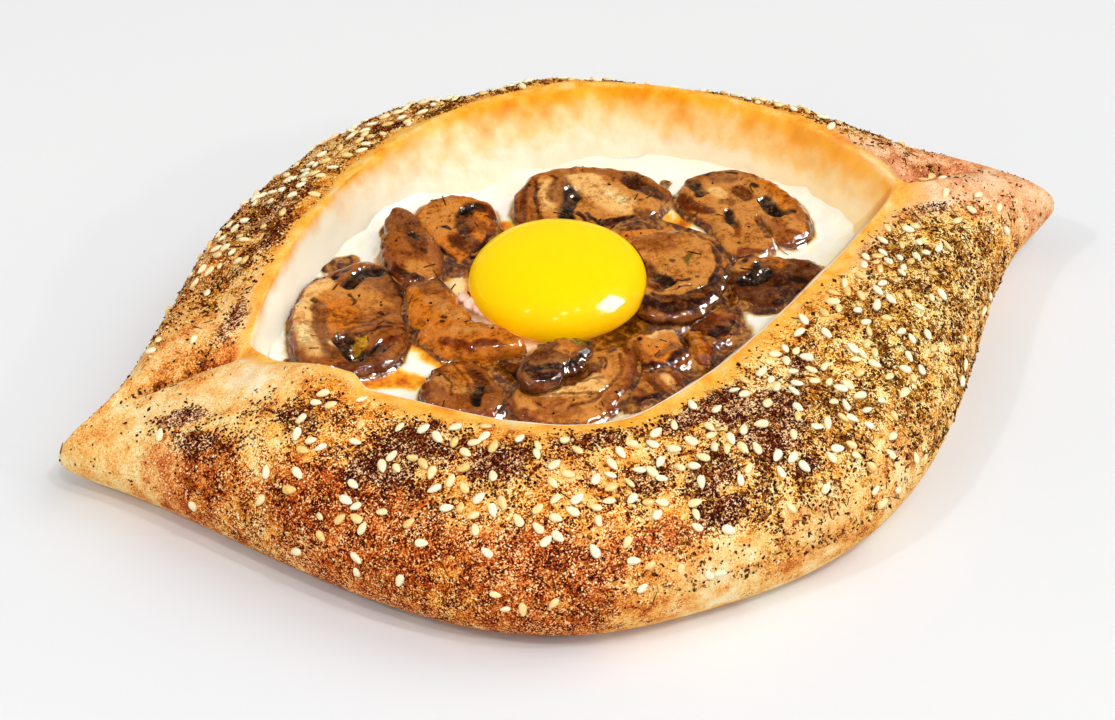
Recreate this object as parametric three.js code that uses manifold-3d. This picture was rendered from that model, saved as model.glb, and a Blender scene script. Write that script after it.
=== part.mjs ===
// A boat-shaped khachapuri: an open flatbread with a thick rolled rim drawn out into two pinched tips,
// filled with melted cheese, fried mushroom slices and one egg yolk, its flanks sprinkled with sesame.
// Millimetres, +Z up. The long axis is X, the origin is on the table under the middle of the bread,
// and -Y is the near flank.
import * as THREE from "three";
import { mergeVertices } from "three/addons/utils/BufferGeometryUtils.js";
import Module from "manifold-3d";

// ---- Driving dimensions -------------------------------------------------------------------------

const TIP_X = 124; // half the length, from the middle to either tip
const BELLY_WIDTH = 83; // half the width of the bread at its widest level
const CREST_LENGTH = 79; // half the length of the opening's rim
const CREST_WIDTH = 60; // half the width of the opening's rim
const CREST_Z = 36; // height of the rim over the table
const CHEESE_Z = 20.6; // level of the melted cheese
const HOLLOW_Z = 13; // floor of the hollow under the cheese
const CLEARANCE = 0.4; // gap left between neighbouring solids

const YOLK_RADIUS = 20.5;
const YOLK_HEIGHT = 14.3;
const SLICE_THICKNESS = 4.6; // of a mushroom slice
const SEED_LENGTH = 3.3;
const SEEDS = 145; // sesame seeds on the flanks

const TURNS = 76; // points round each ring of the crust

// ---- Leaf-shaped rings --------------------------------------------------------------------------

// How the half-width falls from 1 at the widest place to 0 at the end of a ring: a low fullness gives
// a lean side, and a high draw gives a side that runs hollow into a drawn-out tip.
const taper = (share, fullness, draw) => Math.pow(Math.max(0, 1 - Math.pow(share, fullness)), draw);

const smooth = (low, high, value) => {
  const share = Math.min(1, Math.max(0, (value - low) / (high - low)));
  return share * share * (3 - 2 * share);
};

// Each side of a ring has its half-width, the place of its widest point, and for each end a taper and
// how blunt the end is.
const BELLY = {
  left: TIP_X,
  right: TIP_X - 1,
  near: { width: BELLY_WIDTH + 0.5, widest: -12, toLeft: [2.6, 1.75, 8.8], toRight: [3.25, 2.45, 5.7] },
  far: { width: BELLY_WIDTH - 0.5, widest: -13, toLeft: [3.1, 2.35, 1.5], toRight: [1.75, 1.5, 9.5] },
};
const CREST = {
  left: CREST_LENGTH,
  right: CREST_LENGTH,
  near: { width: CREST_WIDTH - 2, widest: -12, toLeft: [1.8, 0.85, 2], toRight: [1.4, 1.05, 2] },
  far: { width: CREST_WIDTH, widest: 2, toLeft: [2, 1, 2], toRight: [2.3, 0.7, 2] },
};
const BRIM = {
  left: CREST_LENGTH - 6,
  right: CREST_LENGTH - 12,
  near: { width: 44, widest: -12, toLeft: [2, 0.8, 2], toRight: [1.5, 1, 2] },
  far: { width: 45, widest: -2, toLeft: [2.3, 1, 2.5], toRight: [3, 0.8, 2.5] },
};
const FOOT = {
  left: TIP_X - 16,
  right: TIP_X - 34,
  near: { width: BELLY_WIDTH - 6, widest: -5, toLeft: [2.3, 1.4, 6], toRight: [2.8, 1.8, 4] },
  far: { width: BELLY_WIDTH - 14, widest: 0, toLeft: [2.2, 1.3, 6], toRight: [2.4, 1.3, 6] },
};

// A point of a ring: turn 0 is the +X tip, and half a turn is the -X tip. An inset pulls in the sides
// by its first number, the -X end by its second and the +X end by its third.
function leafPoint(turn, ring, [sideInset, leftInset, rightInset] = [0, 0, 0]) {
  const side = Math.sin(turn) < 0 ? ring.near : ring.far;
  const left = ring.left - leftInset;
  const right = ring.right - rightInset;
  const x = (right - left) / 2 + ((right + left) / 2) * Math.cos(turn);
  const towardsRight = x > side.widest;
  const reach = towardsRight ? right - side.widest : left + side.widest;
  const share = Math.min(1, Math.abs(x - side.widest) / reach);
  const [fullness, draw] = towardsRight ? side.toRight : side.toLeft;
  const blunt = side.toLeft[2] + (side.toRight[2] - side.toLeft[2]) * smooth(-60, 60, x);
  const end = Math.min(1, Math.abs(x) / (x > 0 ? right : left));
  const bluntEnd = blunt * Math.sqrt(Math.max(0, 1 - Math.pow(end, 16)));
  const width = (side.width - sideInset) * taper(share, fullness, draw) + bluntEnd;
  return new THREE.Vector2(x, Math.sign(Math.sin(turn)) * width);
}

// ---- The crust's surface ------------------------------------------------------------------------

const TIP_Z = { left: 8, right: 16 }; // height of each tip's middle
const BELLY_Z = 13; // height of the widest level along the sides

// 1 at the tips and 0 along the sides.
const atTip = (turn) => Math.pow(Math.abs(Math.cos(turn)), 8);
const bellyHeight = (turn) => {
  const tip = Math.cos(turn) > 0 ? TIP_Z.right : TIP_Z.left;
  return BELLY_Z + (tip - BELLY_Z) * atTip(turn);
};
// The far rim stands a little higher, and the rim dips at both ends, more at the -X one.
const crestHeight = (turn) => {
  const dip = Math.cos(turn) > 0 ? 2.5 : 7;
  const wave = 1.5 * Math.sin(turn) + 0.5 * Math.sin(5 * turn + 1);
  return CREST_Z + wave - dip * Math.pow(Math.abs(Math.cos(turn)), 6);
};

// The outer flank, from the crest at drop 0 to the widest level at drop 1.
function flankPoint(turn, drop) {
  const crest = leafPoint(turn, CREST);
  const belly = leafPoint(turn, BELLY);
  const tip = atTip(turn);
  const shoulder = 1.8 - 0.65 * Math.sin(turn); // the near flank is the fuller one
  const round = Math.sqrt(Math.max(0, 1 - Math.pow(drop, shoulder)));
  const drawn = (1 - 0.68 * drop) * Math.sqrt(Math.max(0, 1 - Math.pow(drop, 14)));
  const rise = round + (drawn - round) * tip;
  const low = bellyHeight(turn);
  const plan = crest.lerp(belly, drop);
  return new THREE.Vector3(plan.x, plan.y, low + (crestHeight(turn) - low) * rise);
}

// The underside, from the widest level at tuck 0 to the table at tuck 1.
function underPoint(turn, tuck) {
  const belly = leafPoint(turn, BELLY);
  const foot = leafPoint(turn, FOOT);
  const inward = 1 - Math.cos((tuck * Math.PI) / 2);
  const plan = belly.lerp(foot, inward + (tuck - inward) * 0.6 * atTip(turn));
  return new THREE.Vector3(plan.x, plan.y, bellyHeight(turn) * (1 - Math.sin((tuck * Math.PI) / 2)));
}

// The inner wall runs from the crest to the brim of the filling, and then rounds into the hollow's
// floor. A station lies a share of the way to the brim, or an inset inside it, at its height, which
// follows the crest's ups and downs by a part.
const BRIM_Z = 22.6;
const WALL = [
  { share: 0.12, inset: 0, height: 35.4, follow: 1 },
  { share: 0.34, inset: 0, height: 32.4, follow: 0.9 },
  { share: 0.68, inset: 0, height: 27.2, follow: 0.5 },
  { share: 1, inset: 0, height: BRIM_Z, follow: 0 },
  { share: 1, inset: 5, height: 17, follow: 0 },
  { share: 1, inset: 12, height: HOLLOW_Z, follow: 0 },
];
function wallPoint(turn, { share, inset, height, follow }, extra = 0) {
  const inward = inset + extra;
  const plan = leafPoint(turn, CREST).lerp(leafPoint(turn, BRIM, [inward, inward, inward]), share);
  return new THREE.Vector3(plan.x, plan.y, height + follow * (crestHeight(turn) - CREST_Z));
}

// Slow swells of the dough, in millimetres, strongest halfway up the outer flank.
const swell = ({ x, y, z }) =>
  1.1 * Math.sin(0.055 * x + 0.09 * y + 1.7) + 0.9 * Math.sin(0.11 * x - 0.05 * y + 0.08 * z) + 0.5 * Math.sin(0.21 * x + 0.15 * y);

// The seam where the two sides of the rim were pinched together runs from each end of the opening
// along the top of the tip: a groove with a rolled lip beside it.
const SEAM = {
  right: { from: 0.08, lean: 0.3, depth: 2.2 },
  left: { from: -0.05, lean: 0.4, depth: 2.2 },
};
function seamDip(turn, drop) {
  const rightward = Math.cos(turn) > 0;
  const seam = rightward ? SEAM.right : SEAM.left;
  const fromTip = rightward ? Math.atan2(Math.sin(turn), Math.cos(turn)) : Math.PI - turn;
  const off = fromTip - seam.from - seam.lean * drop;
  const along = smooth(0, 0.12, drop) * (1 - smooth(0.5, 0.85, drop));
  return seam.depth * along * (Math.exp(-((off / 0.12) ** 2)) - 0.5 * Math.exp(-(((off + 0.28) / 0.16) ** 2)));
}

function reliefPoint(turn, drop) {
  const point = flankPoint(turn, drop);
  const outward = new THREE.Vector3(0, Math.sign(point.y) * drop, 1 - 0.5 * drop).normalize();
  const amount = swell(point) * Math.sin(Math.PI * Math.min(1, drop * 1.05)) * (1 - 0.7 * atTip(turn));
  point.addScaledVector(outward, amount);
  point.z -= seamDip(turn, drop);
  return point;
}

// ---- Meshes from rings --------------------------------------------------------------------------

// A closed skin through a stack of rings that all have as many points, shut by a fan to the middle of
// the first ring and of the last. The rings run anticlockwise, from the underside outwards and up.
function ringedGeometry(rings, firstMiddle, lastMiddle) {
  const count = rings[0].length;
  const points = rings.flat();
  const faces = [];
  for (let ring = 0; ring + 1 < rings.length; ring++) {
    for (let i = 0; i < count; i++) {
      const next = (i + 1) % count;
      const [a, b] = [ring * count + i, ring * count + next];
      const [c, d] = [a + count, b + count];
      faces.push(a, b, d, a, d, c);
    }
  }
  const first = points.push(firstMiddle) - 1;
  const last = points.push(lastMiddle) - 1;
  const top = (rings.length - 1) * count;
  for (let i = 0; i < count; i++) {
    const next = (i + 1) % count;
    faces.push(first, next, i);
    faces.push(last, top + i, top + next);
  }
  const geometry = new THREE.BufferGeometry().setFromPoints(points);
  geometry.setIndex(faces);
  return geometry;
}

const turnsOf = (count) => Array.from({ length: count }, (_, i) => (i / count) * 2 * Math.PI);

// ---- Joining solids -----------------------------------------------------------------------------

const wasm = await Module();
wasm.setup();

function solidOf(geometry) {
  const bare = geometry.clone();
  bare.deleteAttribute("normal");
  bare.deleteAttribute("uv");
  const merged = mergeVertices(bare, 1e-4);
  return new wasm.Manifold(
    new wasm.Mesh({
      numProp: 3,
      vertProperties: new Float32Array(merged.attributes.position.array),
      triVerts: new Uint32Array(merged.index.array),
    }),
  );
}

function geometryOf(solid) {
  const mesh = solid.getMesh();
  return new THREE.BufferGeometry()
    .setAttribute("position", new THREE.BufferAttribute(mesh.vertProperties, 3))
    .setIndex(new THREE.BufferAttribute(mesh.triVerts, 1));
}

// ---- Crust --------------------------------------------------------------------------------------

const TUCKS = [1, 0.66, 0.33];
const DROPS = [1, 0.95, 0.87, 0.76, 0.63, 0.49, 0.34, 0.2, 0.09, 0];

// The crust, or with a margin the same with its inner wall that much thicker.
function crustGeometry(margin = 0) {
  const turns = turnsOf(TURNS);
  const rings = [
    ...TUCKS.map((tuck) => turns.map((turn) => underPoint(turn, tuck))),
    ...DROPS.map((drop) => turns.map((turn) => reliefPoint(turn, drop))),
    ...WALL.map((station) => turns.map((turn) => wallPoint(turn, station, margin))),
  ];
  // The middle of the underside's fan lies beside the origin, so that the origin is inside one face.
  return ringedGeometry(rings, new THREE.Vector3(-30, 9, 0), new THREE.Vector3(0, 0, HOLLOW_Z));
}

// ---- Sesame seeds, joined to the crust ----------------------------------------------------------

// The same small generator of seeded random numbers serves every scattered thing.
function randomFrom(seed) {
  let state = seed;
  return () => {
    state = (state + 0x6d2b79f5) | 0;
    let t = Math.imul(state ^ (state >>> 15), 1 | state);
    t = (t + Math.imul(t ^ (t >>> 7), 61 | t)) ^ t;
    return ((t ^ (t >>> 14)) >>> 0) / 4294967296;
  };
}

// How thickly the seeds lie, from 0 to 1: bands along the upper flanks, and hardly any at the tips.
function seedDensity(turn, drop) {
  const along = Math.cos(turn);
  const nearSide = Math.sin(turn) < 0;
  const band = nearSide ? Math.exp(-(((drop - 0.42) / 0.26) ** 2)) : Math.exp(-(((drop - 0.35) / 0.3) ** 2));
  const tips = 1 - smooth(0.72, 0.93, along) * 0.9 - smooth(0.62, 0.8, -along);
  const patches = 0.72 + 0.28 * Math.sin(7 * turn + 4 * drop + 0.5);
  return band * tips * patches;
}

// The frame of a seed lying on the flank: along the surface, across it and out of it.
function seedFrame(turn, drop, spin) {
  const point = reliefPoint(turn, drop);
  const along = reliefPoint(turn + 0.01, drop).sub(point).normalize();
  const down = reliefPoint(turn, drop + 0.01).sub(point).normalize();
  const outward = new THREE.Vector3().crossVectors(down, along).normalize();
  const forward = along.clone().applyAxisAngle(outward, spin);
  const across = new THREE.Vector3().crossVectors(outward, forward);
  return new THREE.Matrix4().makeBasis(forward, across, outward).setPosition(point);
}

// A drop-shaped seed with a low back, its underside sunk in the dough.
function seedGeometry(length) {
  const geometry = new THREE.IcosahedronGeometry(1, 0);
  geometry.rotateX(0.36);
  const position = geometry.attributes.position;
  for (let i = 0; i < position.count; i++) {
    const x = position.getX(i);
    position.setY(i, position.getY(i) * (0.8 + 0.25 * x));
    position.setZ(i, position.getZ(i) * (0.85 + 0.15 * x));
  }
  return geometry.scale(length * 0.59, length * 0.42, length * 0.27);
}

function scatterSeeds() {
  const random = randomFrom(11);
  const seeds = [];
  const places = [];
  while (seeds.length < SEEDS) {
    const [turn, drop] = [random() * 2 * Math.PI, 0.1 + 0.85 * random()];
    const [kept, spin, growth] = [random(), random() * Math.PI * 2, random()];
    if (kept > seedDensity(turn, drop)) continue;
    const frame = seedFrame(turn, drop, spin);
    const place = new THREE.Vector3().setFromMatrixPosition(frame);
    if (places.some((other) => other.distanceTo(place) < SEED_LENGTH)) continue;
    places.push(place);
    seeds.push(solidOf(seedGeometry(SEED_LENGTH * (0.9 + 0.2 * growth)).applyMatrix4(frame)));
  }
  return seeds;
}

// ---- Cheese -------------------------------------------------------------------------------------

const cheeseSwell = (x, y) =>
  0.4 * Math.sin(0.13 * x + 0.4) * Math.sin(0.16 * y + 1.1) + 0.2 * Math.sin(0.31 * x - 0.22 * y);

function cheeseGeometry() {
  const turns = turnsOf(TURNS);
  const [slope, floor] = WALL.slice(4);
  const drop = (BRIM_Z - CHEESE_Z) / (BRIM_Z - slope.height);
  const edge = { share: 1, inset: slope.inset * drop, height: CHEESE_Z, follow: 0 };
  const ring = (station, lift = 0) =>
    turns.map((turn) => {
      const point = wallPoint(turn, station, CLEARANCE + lift);
      point.z += lift;
      return point;
    });
  const topRing = (share) =>
    turns.map((turn) => {
      const rim = wallPoint(turn, edge, CLEARANCE);
      const [x, y] = [rim.x * share, rim.y * share];
      return new THREE.Vector3(x, y, CHEESE_Z + cheeseSwell(x, y));
    });
  const rings = [ring(floor, CLEARANCE), ring(slope), ring(edge), ...[0.85, 0.5].map(topRing)];
  return ringedGeometry(
    rings,
    new THREE.Vector3(0, 0, HOLLOW_Z + CLEARANCE),
    new THREE.Vector3(0, 0, CHEESE_Z + cheeseSwell(0, 0)),
  );
}

// ---- Yolk ---------------------------------------------------------------------------------------

const YOLK = { x: -6.5, y: 0.9, bottom: CHEESE_Z + 1.2 };

// A flattened ball whose underside is flatter than its top, or with a margin the same that much larger.
function yolkGeometry(margin = 0) {
  const turns = turnsOf(32);
  const level = 0.34 * YOLK_HEIGHT; // height of the widest ring over the bottom
  const ring = (rise) =>
    turns.map((turn) => {
      const half = (rise < 0 ? level : YOLK_HEIGHT - level) + margin;
      const radius = (YOLK_RADIUS + margin) * Math.pow(Math.cos((rise * Math.PI) / 2), rise < 0 ? 0.55 : 0.8);
      const x = YOLK.x + radius * Math.cos(turn);
      const y = YOLK.y + radius * Math.sin(turn);
      return new THREE.Vector3(x, y, YOLK.bottom + level + half * Math.sin((rise * Math.PI) / 2));
    });
  return ringedGeometry(
    [-0.72, -0.4, 0, 0.3, 0.55, 0.75, 0.9].map(ring),
    new THREE.Vector3(YOLK.x, YOLK.y, YOLK.bottom + 0.3 - margin),
    new THREE.Vector3(YOLK.x, YOLK.y, YOLK.bottom + YOLK_HEIGHT + margin),
  );
}

// ---- Mushrooms ----------------------------------------------------------------------------------

// Each piece has the place of its middle, its outline as radii at every 30 degrees from the slice's own
// +X, how it is turned and tilted in degrees (about Z, then X, then Y), and how far its edge curls up.
// The pieces are listed from the top of the pile down, and a lower one gives way to those above it.
const PIECES = [
  { name: "mushroom_near_top", at: [-17, -27.5, 28.6], radii: [9, 8.5, 6, 5.5, 5.5, 7, 9.5, 9, 6.5, 5.2, 4.5, 6], tilt: [14, 0], curl: 1 },
  { name: "mushroom_disc", at: [19, -6, 27], radii: [11, 11.5, 12, 12, 11.5, 9.5, 9.5, 11, 11.5, 11.5, 11.5, 11.5], tilt: [7, -4], curl: 0.4 },
  { name: "mushroom_stem_far_left", at: [-34.5, 23, 25.6], radii: [6.5, 6.8, 8.5, 10.5, 8.5, 7, 6.2, 7, 8.5, 9, 8.5, 7.5], tilt: [16, 6], curl: 0.3 },
  { name: "mushroom_crescent", at: [-34.5, -5.5, 24.2], turn: -64, radii: [20, 9.5, 6.8, 6.2, 6.8, 10.5, 21, 13, 8.5, 7.2, 9, 14], tilt: [0, -16], thick: 1.5, curl: 0 },
  { name: "mushroom_near", at: [-15.4, -35, 23.6], radii: [15, 15, 11, 9, 9, 12.5, 15.5, 14, 11, 9.8, 10, 12], tilt: [5, 0], curl: 0.8 },
  { name: "mushroom_left", at: [-54, 7, 23.6], radii: [14, 15, 18.5, 17.5, 16.5, 14.2, 15, 16.5, 18.5, 19, 17, 14], tilt: [2, 4], curl: 0.6 },
  { name: "mushroom_far", at: [14.5, 31, 23.6], radii: [17.5, 13, 11, 12, 14.5, 17.5, 18, 12, 8.5, 10.5, 13, 15], tilt: [8, 0], curl: 0.5 },
  { name: "mushroom_far_right", at: [47, 13, 23.5], radii: [13, 13.5, 15, 15.5, 17, 16, 11, 12, 17, 13, 15.5, 14], tilt: [4, -3], curl: 0.6 },
  { name: "mushroom_far_left", at: [-20, 31, 23.3], radii: [9, 11, 12, 12, 12, 10.5, 9, 10, 14, 14, 10.5, 9], tilt: [6, 0], curl: 0.5 },
  { name: "mushroom_right", at: [42, -12, 23.4], radii: [11.5, 10, 7.6, 8.6, 11, 10.5, 12, 11, 12.5, 10, 9.5, 11], tilt: [3, 0], curl: 0.6 },
  { name: "mushroom_near_left", at: [-39, -25, 23.6], radii: [9, 9, 10, 9.5, 8.5, 8.5, 8.7, 9, 9.5, 9, 9, 9.5], tilt: [-2, 8], curl: 0.5 },
  { name: "mushroom_stem_near", at: [6, -28, 24.6], radii: [7, 7.5, 6, 6, 6.5, 7, 6.5, 7, 7, 6.5, 6.5, 7], tilt: [8, 0], curl: 0.3 },
  { name: "mushroom_sliver_near", at: [15.5, -29.5, 23.8], radii: [3.2, 4, 5, 5.5, 4.5, 3, 2.7, 4, 7, 5, 4, 3.5], tilt: [0, 6], curl: 0.2 },
  { name: "mushroom_under_disc", at: [24, 6, 22.8], radii: [11.5, 10, 9.5, 11.5, 14, 12.5, 11, 11, 11, 11, 11.5, 12], tilt: [0, 0], curl: 0.2, thick: 0.7 },
  { name: "mushroom_wedge_near", at: [23, -23.5, 23.2], radii: [5, 5.7, 5.5, 5, 5.5, 7, 7.5, 6.5, 7, 5.5, 5, 5], tilt: [4, 4], curl: 0.3 },
  { name: "mushroom_stem_near_left", at: [-27, -26, 22.8], radii: [4, 6, 6.5, 5.5, 6, 6, 5, 7, 9, 9, 6, 5], tilt: [0, 0], curl: 0.2, thick: 0.8 },
  { name: "mushroom_chip_near", at: [0, -39.5, 23.2], radii: [6, 6.5, 6.5, 5.5, 5, 5.5, 6, 6, 5, 4.4, 4.4, 5.5], tilt: [6, 0], curl: 0.2 },
  { name: "garlic_bit", at: [-28, 9.5, 24], radii: [3.4, 3, 3, 3.2, 3.2, 3, 3, 3, 3, 3, 3, 3], tilt: [0, 0], curl: 0, thick: 0.9 },
];
const RIM_POINTS = 20;

// The radius at any angle, by a smooth curve through the twelve given radii.
function radiusAt(radii, angle) {
  const place = (((angle / (2 * Math.PI)) * 12) % 12 + 12) % 12;
  const i = Math.floor(place);
  const t = place - i;
  const [a, b, c, d] = [-1, 0, 1, 2].map((k) => radii[(i + k + 12) % 12]);
  return b + 0.5 * t * (c - a + t * (2 * a - 5 * b + 4 * c - d + t * (3 * (b - c) + d - a)));
}

// A slice with rounded sides; grow thickens it all round.
function sliceGeometry({ at, radii, turn = 0, tilt, curl, thick = 1 }, grow = 0) {
  const half = (SLICE_THICKNESS * thick) / 2 + grow;
  const widest = Math.max(...radii);
  const ring = (inset, share, height) =>
    turnsOf(RIM_POINTS).map((angle) => {
      const radius = (radiusAt(radii, angle) + grow - inset) * share;
      const lift = curl * (radius / widest) ** 2;
      return new THREE.Vector3(radius * Math.cos(angle), radius * Math.sin(angle), height + lift);
    });
  const rings = [ring(0.9, 1, -half), ring(0, 1, -0.3 * half), ring(0.1, 1, 0.4 * half), ring(1.1, 1, half)];
  const geometry = ringedGeometry(rings, new THREE.Vector3(0, 0, -half), new THREE.Vector3(0, 0, half));
  const radians = (degrees) => (degrees * Math.PI) / 180;
  geometry.rotateZ(radians(turn)).rotateX(radians(tilt[0])).rotateY(radians(tilt[1]));
  return geometry.translate(...at);
}

// ---- Assembly -----------------------------------------------------------------------------------

const finish = (color, roughness) => new THREE.MeshStandardMaterial({ color, roughness, metalness: 0 });
const MATERIALS = {
  crust: finish(0xc98a4b, 0.75),
  cheese: finish(0xf3e6c4, 0.45),
  yolk: finish(0xffd21a, 0.2),
  mushroom: finish(0x7a4a26, 0.35),
  garlic: finish(0xf2dfae, 0.5),
};

const khachapuri = new THREE.Group();
function addPart(name, geometry, material) {
  const mesh = new THREE.Mesh(geometry, material);
  mesh.name = name;
  khachapuri.add(mesh);
  return mesh;
}

// The largest connected body of a solid, which is what is left of a piece once others are cut from it.
const mainBody = (solid) => solid.decompose().sort((a, b) => b.volume() - a.volume())[0];

const crust = wasm.Manifold.union([solidOf(crustGeometry()), ...scatterSeeds()]);
addPart("crust", geometryOf(crust), MATERIALS.crust);
addPart("cheese", cheeseGeometry(), MATERIALS.cheese);
addPart("yolk", yolkGeometry(), MATERIALS.yolk);

// Everything over the cheese stays above this level, and inside the wall.
const belowCheese = new THREE.BoxGeometry(2 * TIP_X, 2 * TIP_X, 2 * (CHEESE_Z + 0.55 + CLEARANCE));
const inTheWay = [crustGeometry(CLEARANCE), yolkGeometry(CLEARANCE), belowCheese].map(solidOf);
for (const piece of PIECES) {
  const left = mainBody(solidOf(sliceGeometry(piece)).subtract(wasm.Manifold.union(inTheWay)));
  addPart(piece.name, geometryOf(left), piece.name.startsWith("garlic") ? MATERIALS.garlic : MATERIALS.mushroom);
  inTheWay.push(solidOf(sliceGeometry(piece, CLEARANCE)));
}

export default khachapuri;
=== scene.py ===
# %% [markdown]
# # A boat-shaped khachapuri, dressed for its portrait
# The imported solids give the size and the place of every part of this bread. This lesson keeps those
# places and gives each part its real surface: baked dough under seeds and dried herbs, melted
# cheese, oily mushroom slices and one raw yolk. Run the cells from top to bottom.

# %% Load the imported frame
import itertools
import math
from types import SimpleNamespace

import bpy
import numpy as np
from mathutils import Matrix, Vector
from mathutils.bvhtree import BVHTree


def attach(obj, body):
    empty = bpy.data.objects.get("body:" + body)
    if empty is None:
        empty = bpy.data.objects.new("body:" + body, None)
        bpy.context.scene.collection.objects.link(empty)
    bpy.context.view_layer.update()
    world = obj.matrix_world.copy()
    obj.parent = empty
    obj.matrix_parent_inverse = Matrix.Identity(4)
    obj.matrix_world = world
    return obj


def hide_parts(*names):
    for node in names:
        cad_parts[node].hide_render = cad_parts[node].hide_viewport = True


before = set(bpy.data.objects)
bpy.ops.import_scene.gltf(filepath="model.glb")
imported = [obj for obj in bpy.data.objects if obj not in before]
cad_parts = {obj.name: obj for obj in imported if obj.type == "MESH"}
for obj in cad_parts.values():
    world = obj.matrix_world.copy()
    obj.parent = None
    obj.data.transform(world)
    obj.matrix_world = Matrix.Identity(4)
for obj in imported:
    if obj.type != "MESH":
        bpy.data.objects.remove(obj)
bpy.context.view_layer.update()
bpy.ops.object.select_all(action="DESELECT")
MM = 0.001
print("nodes:", sorted(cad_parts))

# %% [markdown]
# ## A small language for shaders
# A finish is a tree of nodes, and a long tree is hard to read as boxes and wires. Here a socket is
# wrapped in a small class, so that `1 - mask` or `mask * 0.5` writes its own Math node. Colours are
# mixed with a Mix node, because a Math node would turn them grey.

# %% Sockets that can be added and multiplied
def plug(tree, slot, value):
    """Links a socket to an input, or sets the input's own value."""
    if isinstance(value, Socket):
        tree.links.new(value.socket, slot)
    else:
        slot.default_value = value


class Socket:
    def __init__(self, tree, socket):
        self.tree, self.socket = tree, socket

    def math(self, operation, *values, clamp=False):
        node = self.tree.nodes.new("ShaderNodeMath")
        node.operation, node.use_clamp = operation, clamp
        for slot, value in zip(node.inputs, values):
            plug(self.tree, slot, value)
        return Socket(self.tree, node.outputs[0])

    def __add__(self, other):
        return self.math("ADD", self, other)

    def __sub__(self, other):
        return self.math("SUBTRACT", self, other)

    def __rsub__(self, other):
        return self.math("SUBTRACT", other, self)

    def __mul__(self, other):
        return self.math("MULTIPLY", self, other)

    __radd__, __rmul__ = __add__, __mul__

    def held(self):
        """The same value, kept between 0 and 1."""
        return self.math("ADD", self, 0.0, clamp=True)


def sway(noise, height):
    """A noise, about 0.5 on average, as a swing to both sides of zero."""
    return (noise - 0.5) * height


def linear(shares):
    """Shares of a colour as a screen shows them, 0 to 1, turned into the linear ones of a shader."""
    shares = np.asarray(shares)
    return np.where(shares <= 0.04045, shares / 12.92, ((shares + 0.055) / 1.055) ** 2.4)


def paint(red, green, blue):
    """A colour as a screen shows it, 0 to 255, for a shader."""
    return (*linear(np.array((red, green, blue)) / 255).tolist(), 1.0)


# %% A finish and its nodes
class Finish:
    """A material under construction. Constants are set on the shader's own sockets."""

    def __init__(self, name, **constants):
        self.material = bpy.data.materials.new(name)
        self.material.use_nodes = True
        self.tree = self.material.node_tree
        self.shader = self.tree.nodes["Principled BSDF"]
        for key, value in constants.items():
            self.shader.inputs[key.replace("_", " ")].default_value = value
        self.place = self.node("ShaderNodeTexCoord", output="Object")

    def node(self, kind, settings=None, inputs=None, output=0):
        made = self.tree.nodes.new(kind)
        for key, value in (settings or {}).items():
            if key == "stops":
                ramp = made.color_ramp.elements
                while len(ramp) < len(value):
                    ramp.new(0.5)
                for element, (position, colour) in zip(ramp, value):
                    element.position, element.color = position, colour
            else:
                setattr(made, key, value)
        for key, value in (inputs or {}).items():
            plug(self.tree, made.inputs[key], value)
        return Socket(self.tree, made.outputs[output])

    def grain(self, size, detail=2.0, roughness=0.5, stretch=None):
        """Noise whose hills are about one size across, in millimetres; about 0.5 on average."""
        place = self.place
        if stretch:
            place = self.node("ShaderNodeMapping", inputs={0: place, 3: stretch})
        return self.node("ShaderNodeTexNoise", inputs={
            "Vector": place, "Scale": 1 / (size * MM), "Detail": detail, "Roughness": roughness})

    def band(self, value, low, high):
        """0 below low, 1 above high, and smooth between them."""
        return self.node("ShaderNodeMapRange", {"interpolation_type": "SMOOTHSTEP"},
                         {0: value, 1: low, 2: high})

    def ramp(self, value, *stops):
        """Colours along a scale: a stop is its position, from 0 to 1, and its red, green and blue."""
        painted = [(position, paint(*colour)) for position, *colour in stops]
        return self.node("ShaderNodeValToRGB", {"stops": painted}, {0: value})

    def mix(self, share, first, second, way="MIX"):
        return self.node("ShaderNodeMix", {"data_type": "RGBA", "blend_type": way},
                         {0: share, 6: first, 7: second}, 2)

    def read(self, name):
        """The number that the mesh carries under this name."""
        return self.node("ShaderNodeAttribute", {"attribute_name": name}, output="Fac")

    def bump(self, height, depth, under=None):
        inputs = {"Height": height, "Distance": depth * MM, "Strength": 1.0}
        if under:
            inputs["Normal"] = under
        return self.node("ShaderNodeBump", inputs=inputs, output="Normal")

    def wear(self, **links):
        for key, value in links.items():
            plug(self.tree, self.shader.inputs[key.replace("_", " ")], value)
        return self.material


# %% [markdown]
# ## The shape of the bread as rings
# Bread has no straight lines, but this one follows a plan: seen from above each level is a leaf
# with two drawn-out ends. It could be sculpted by hand, but then nothing would tell where the rim
# or the widest level is. Here a ring is one level of the leaf. The same rings, from the same
# dimensions in millimetres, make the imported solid, so the fine crust grows on it without a gap.

# %% Leaf-shaped rings
def ease(low, high, value):
    share = np.clip((value - low) / (high - low), 0, 1)
    return share * share * (3 - 2 * share)


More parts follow.
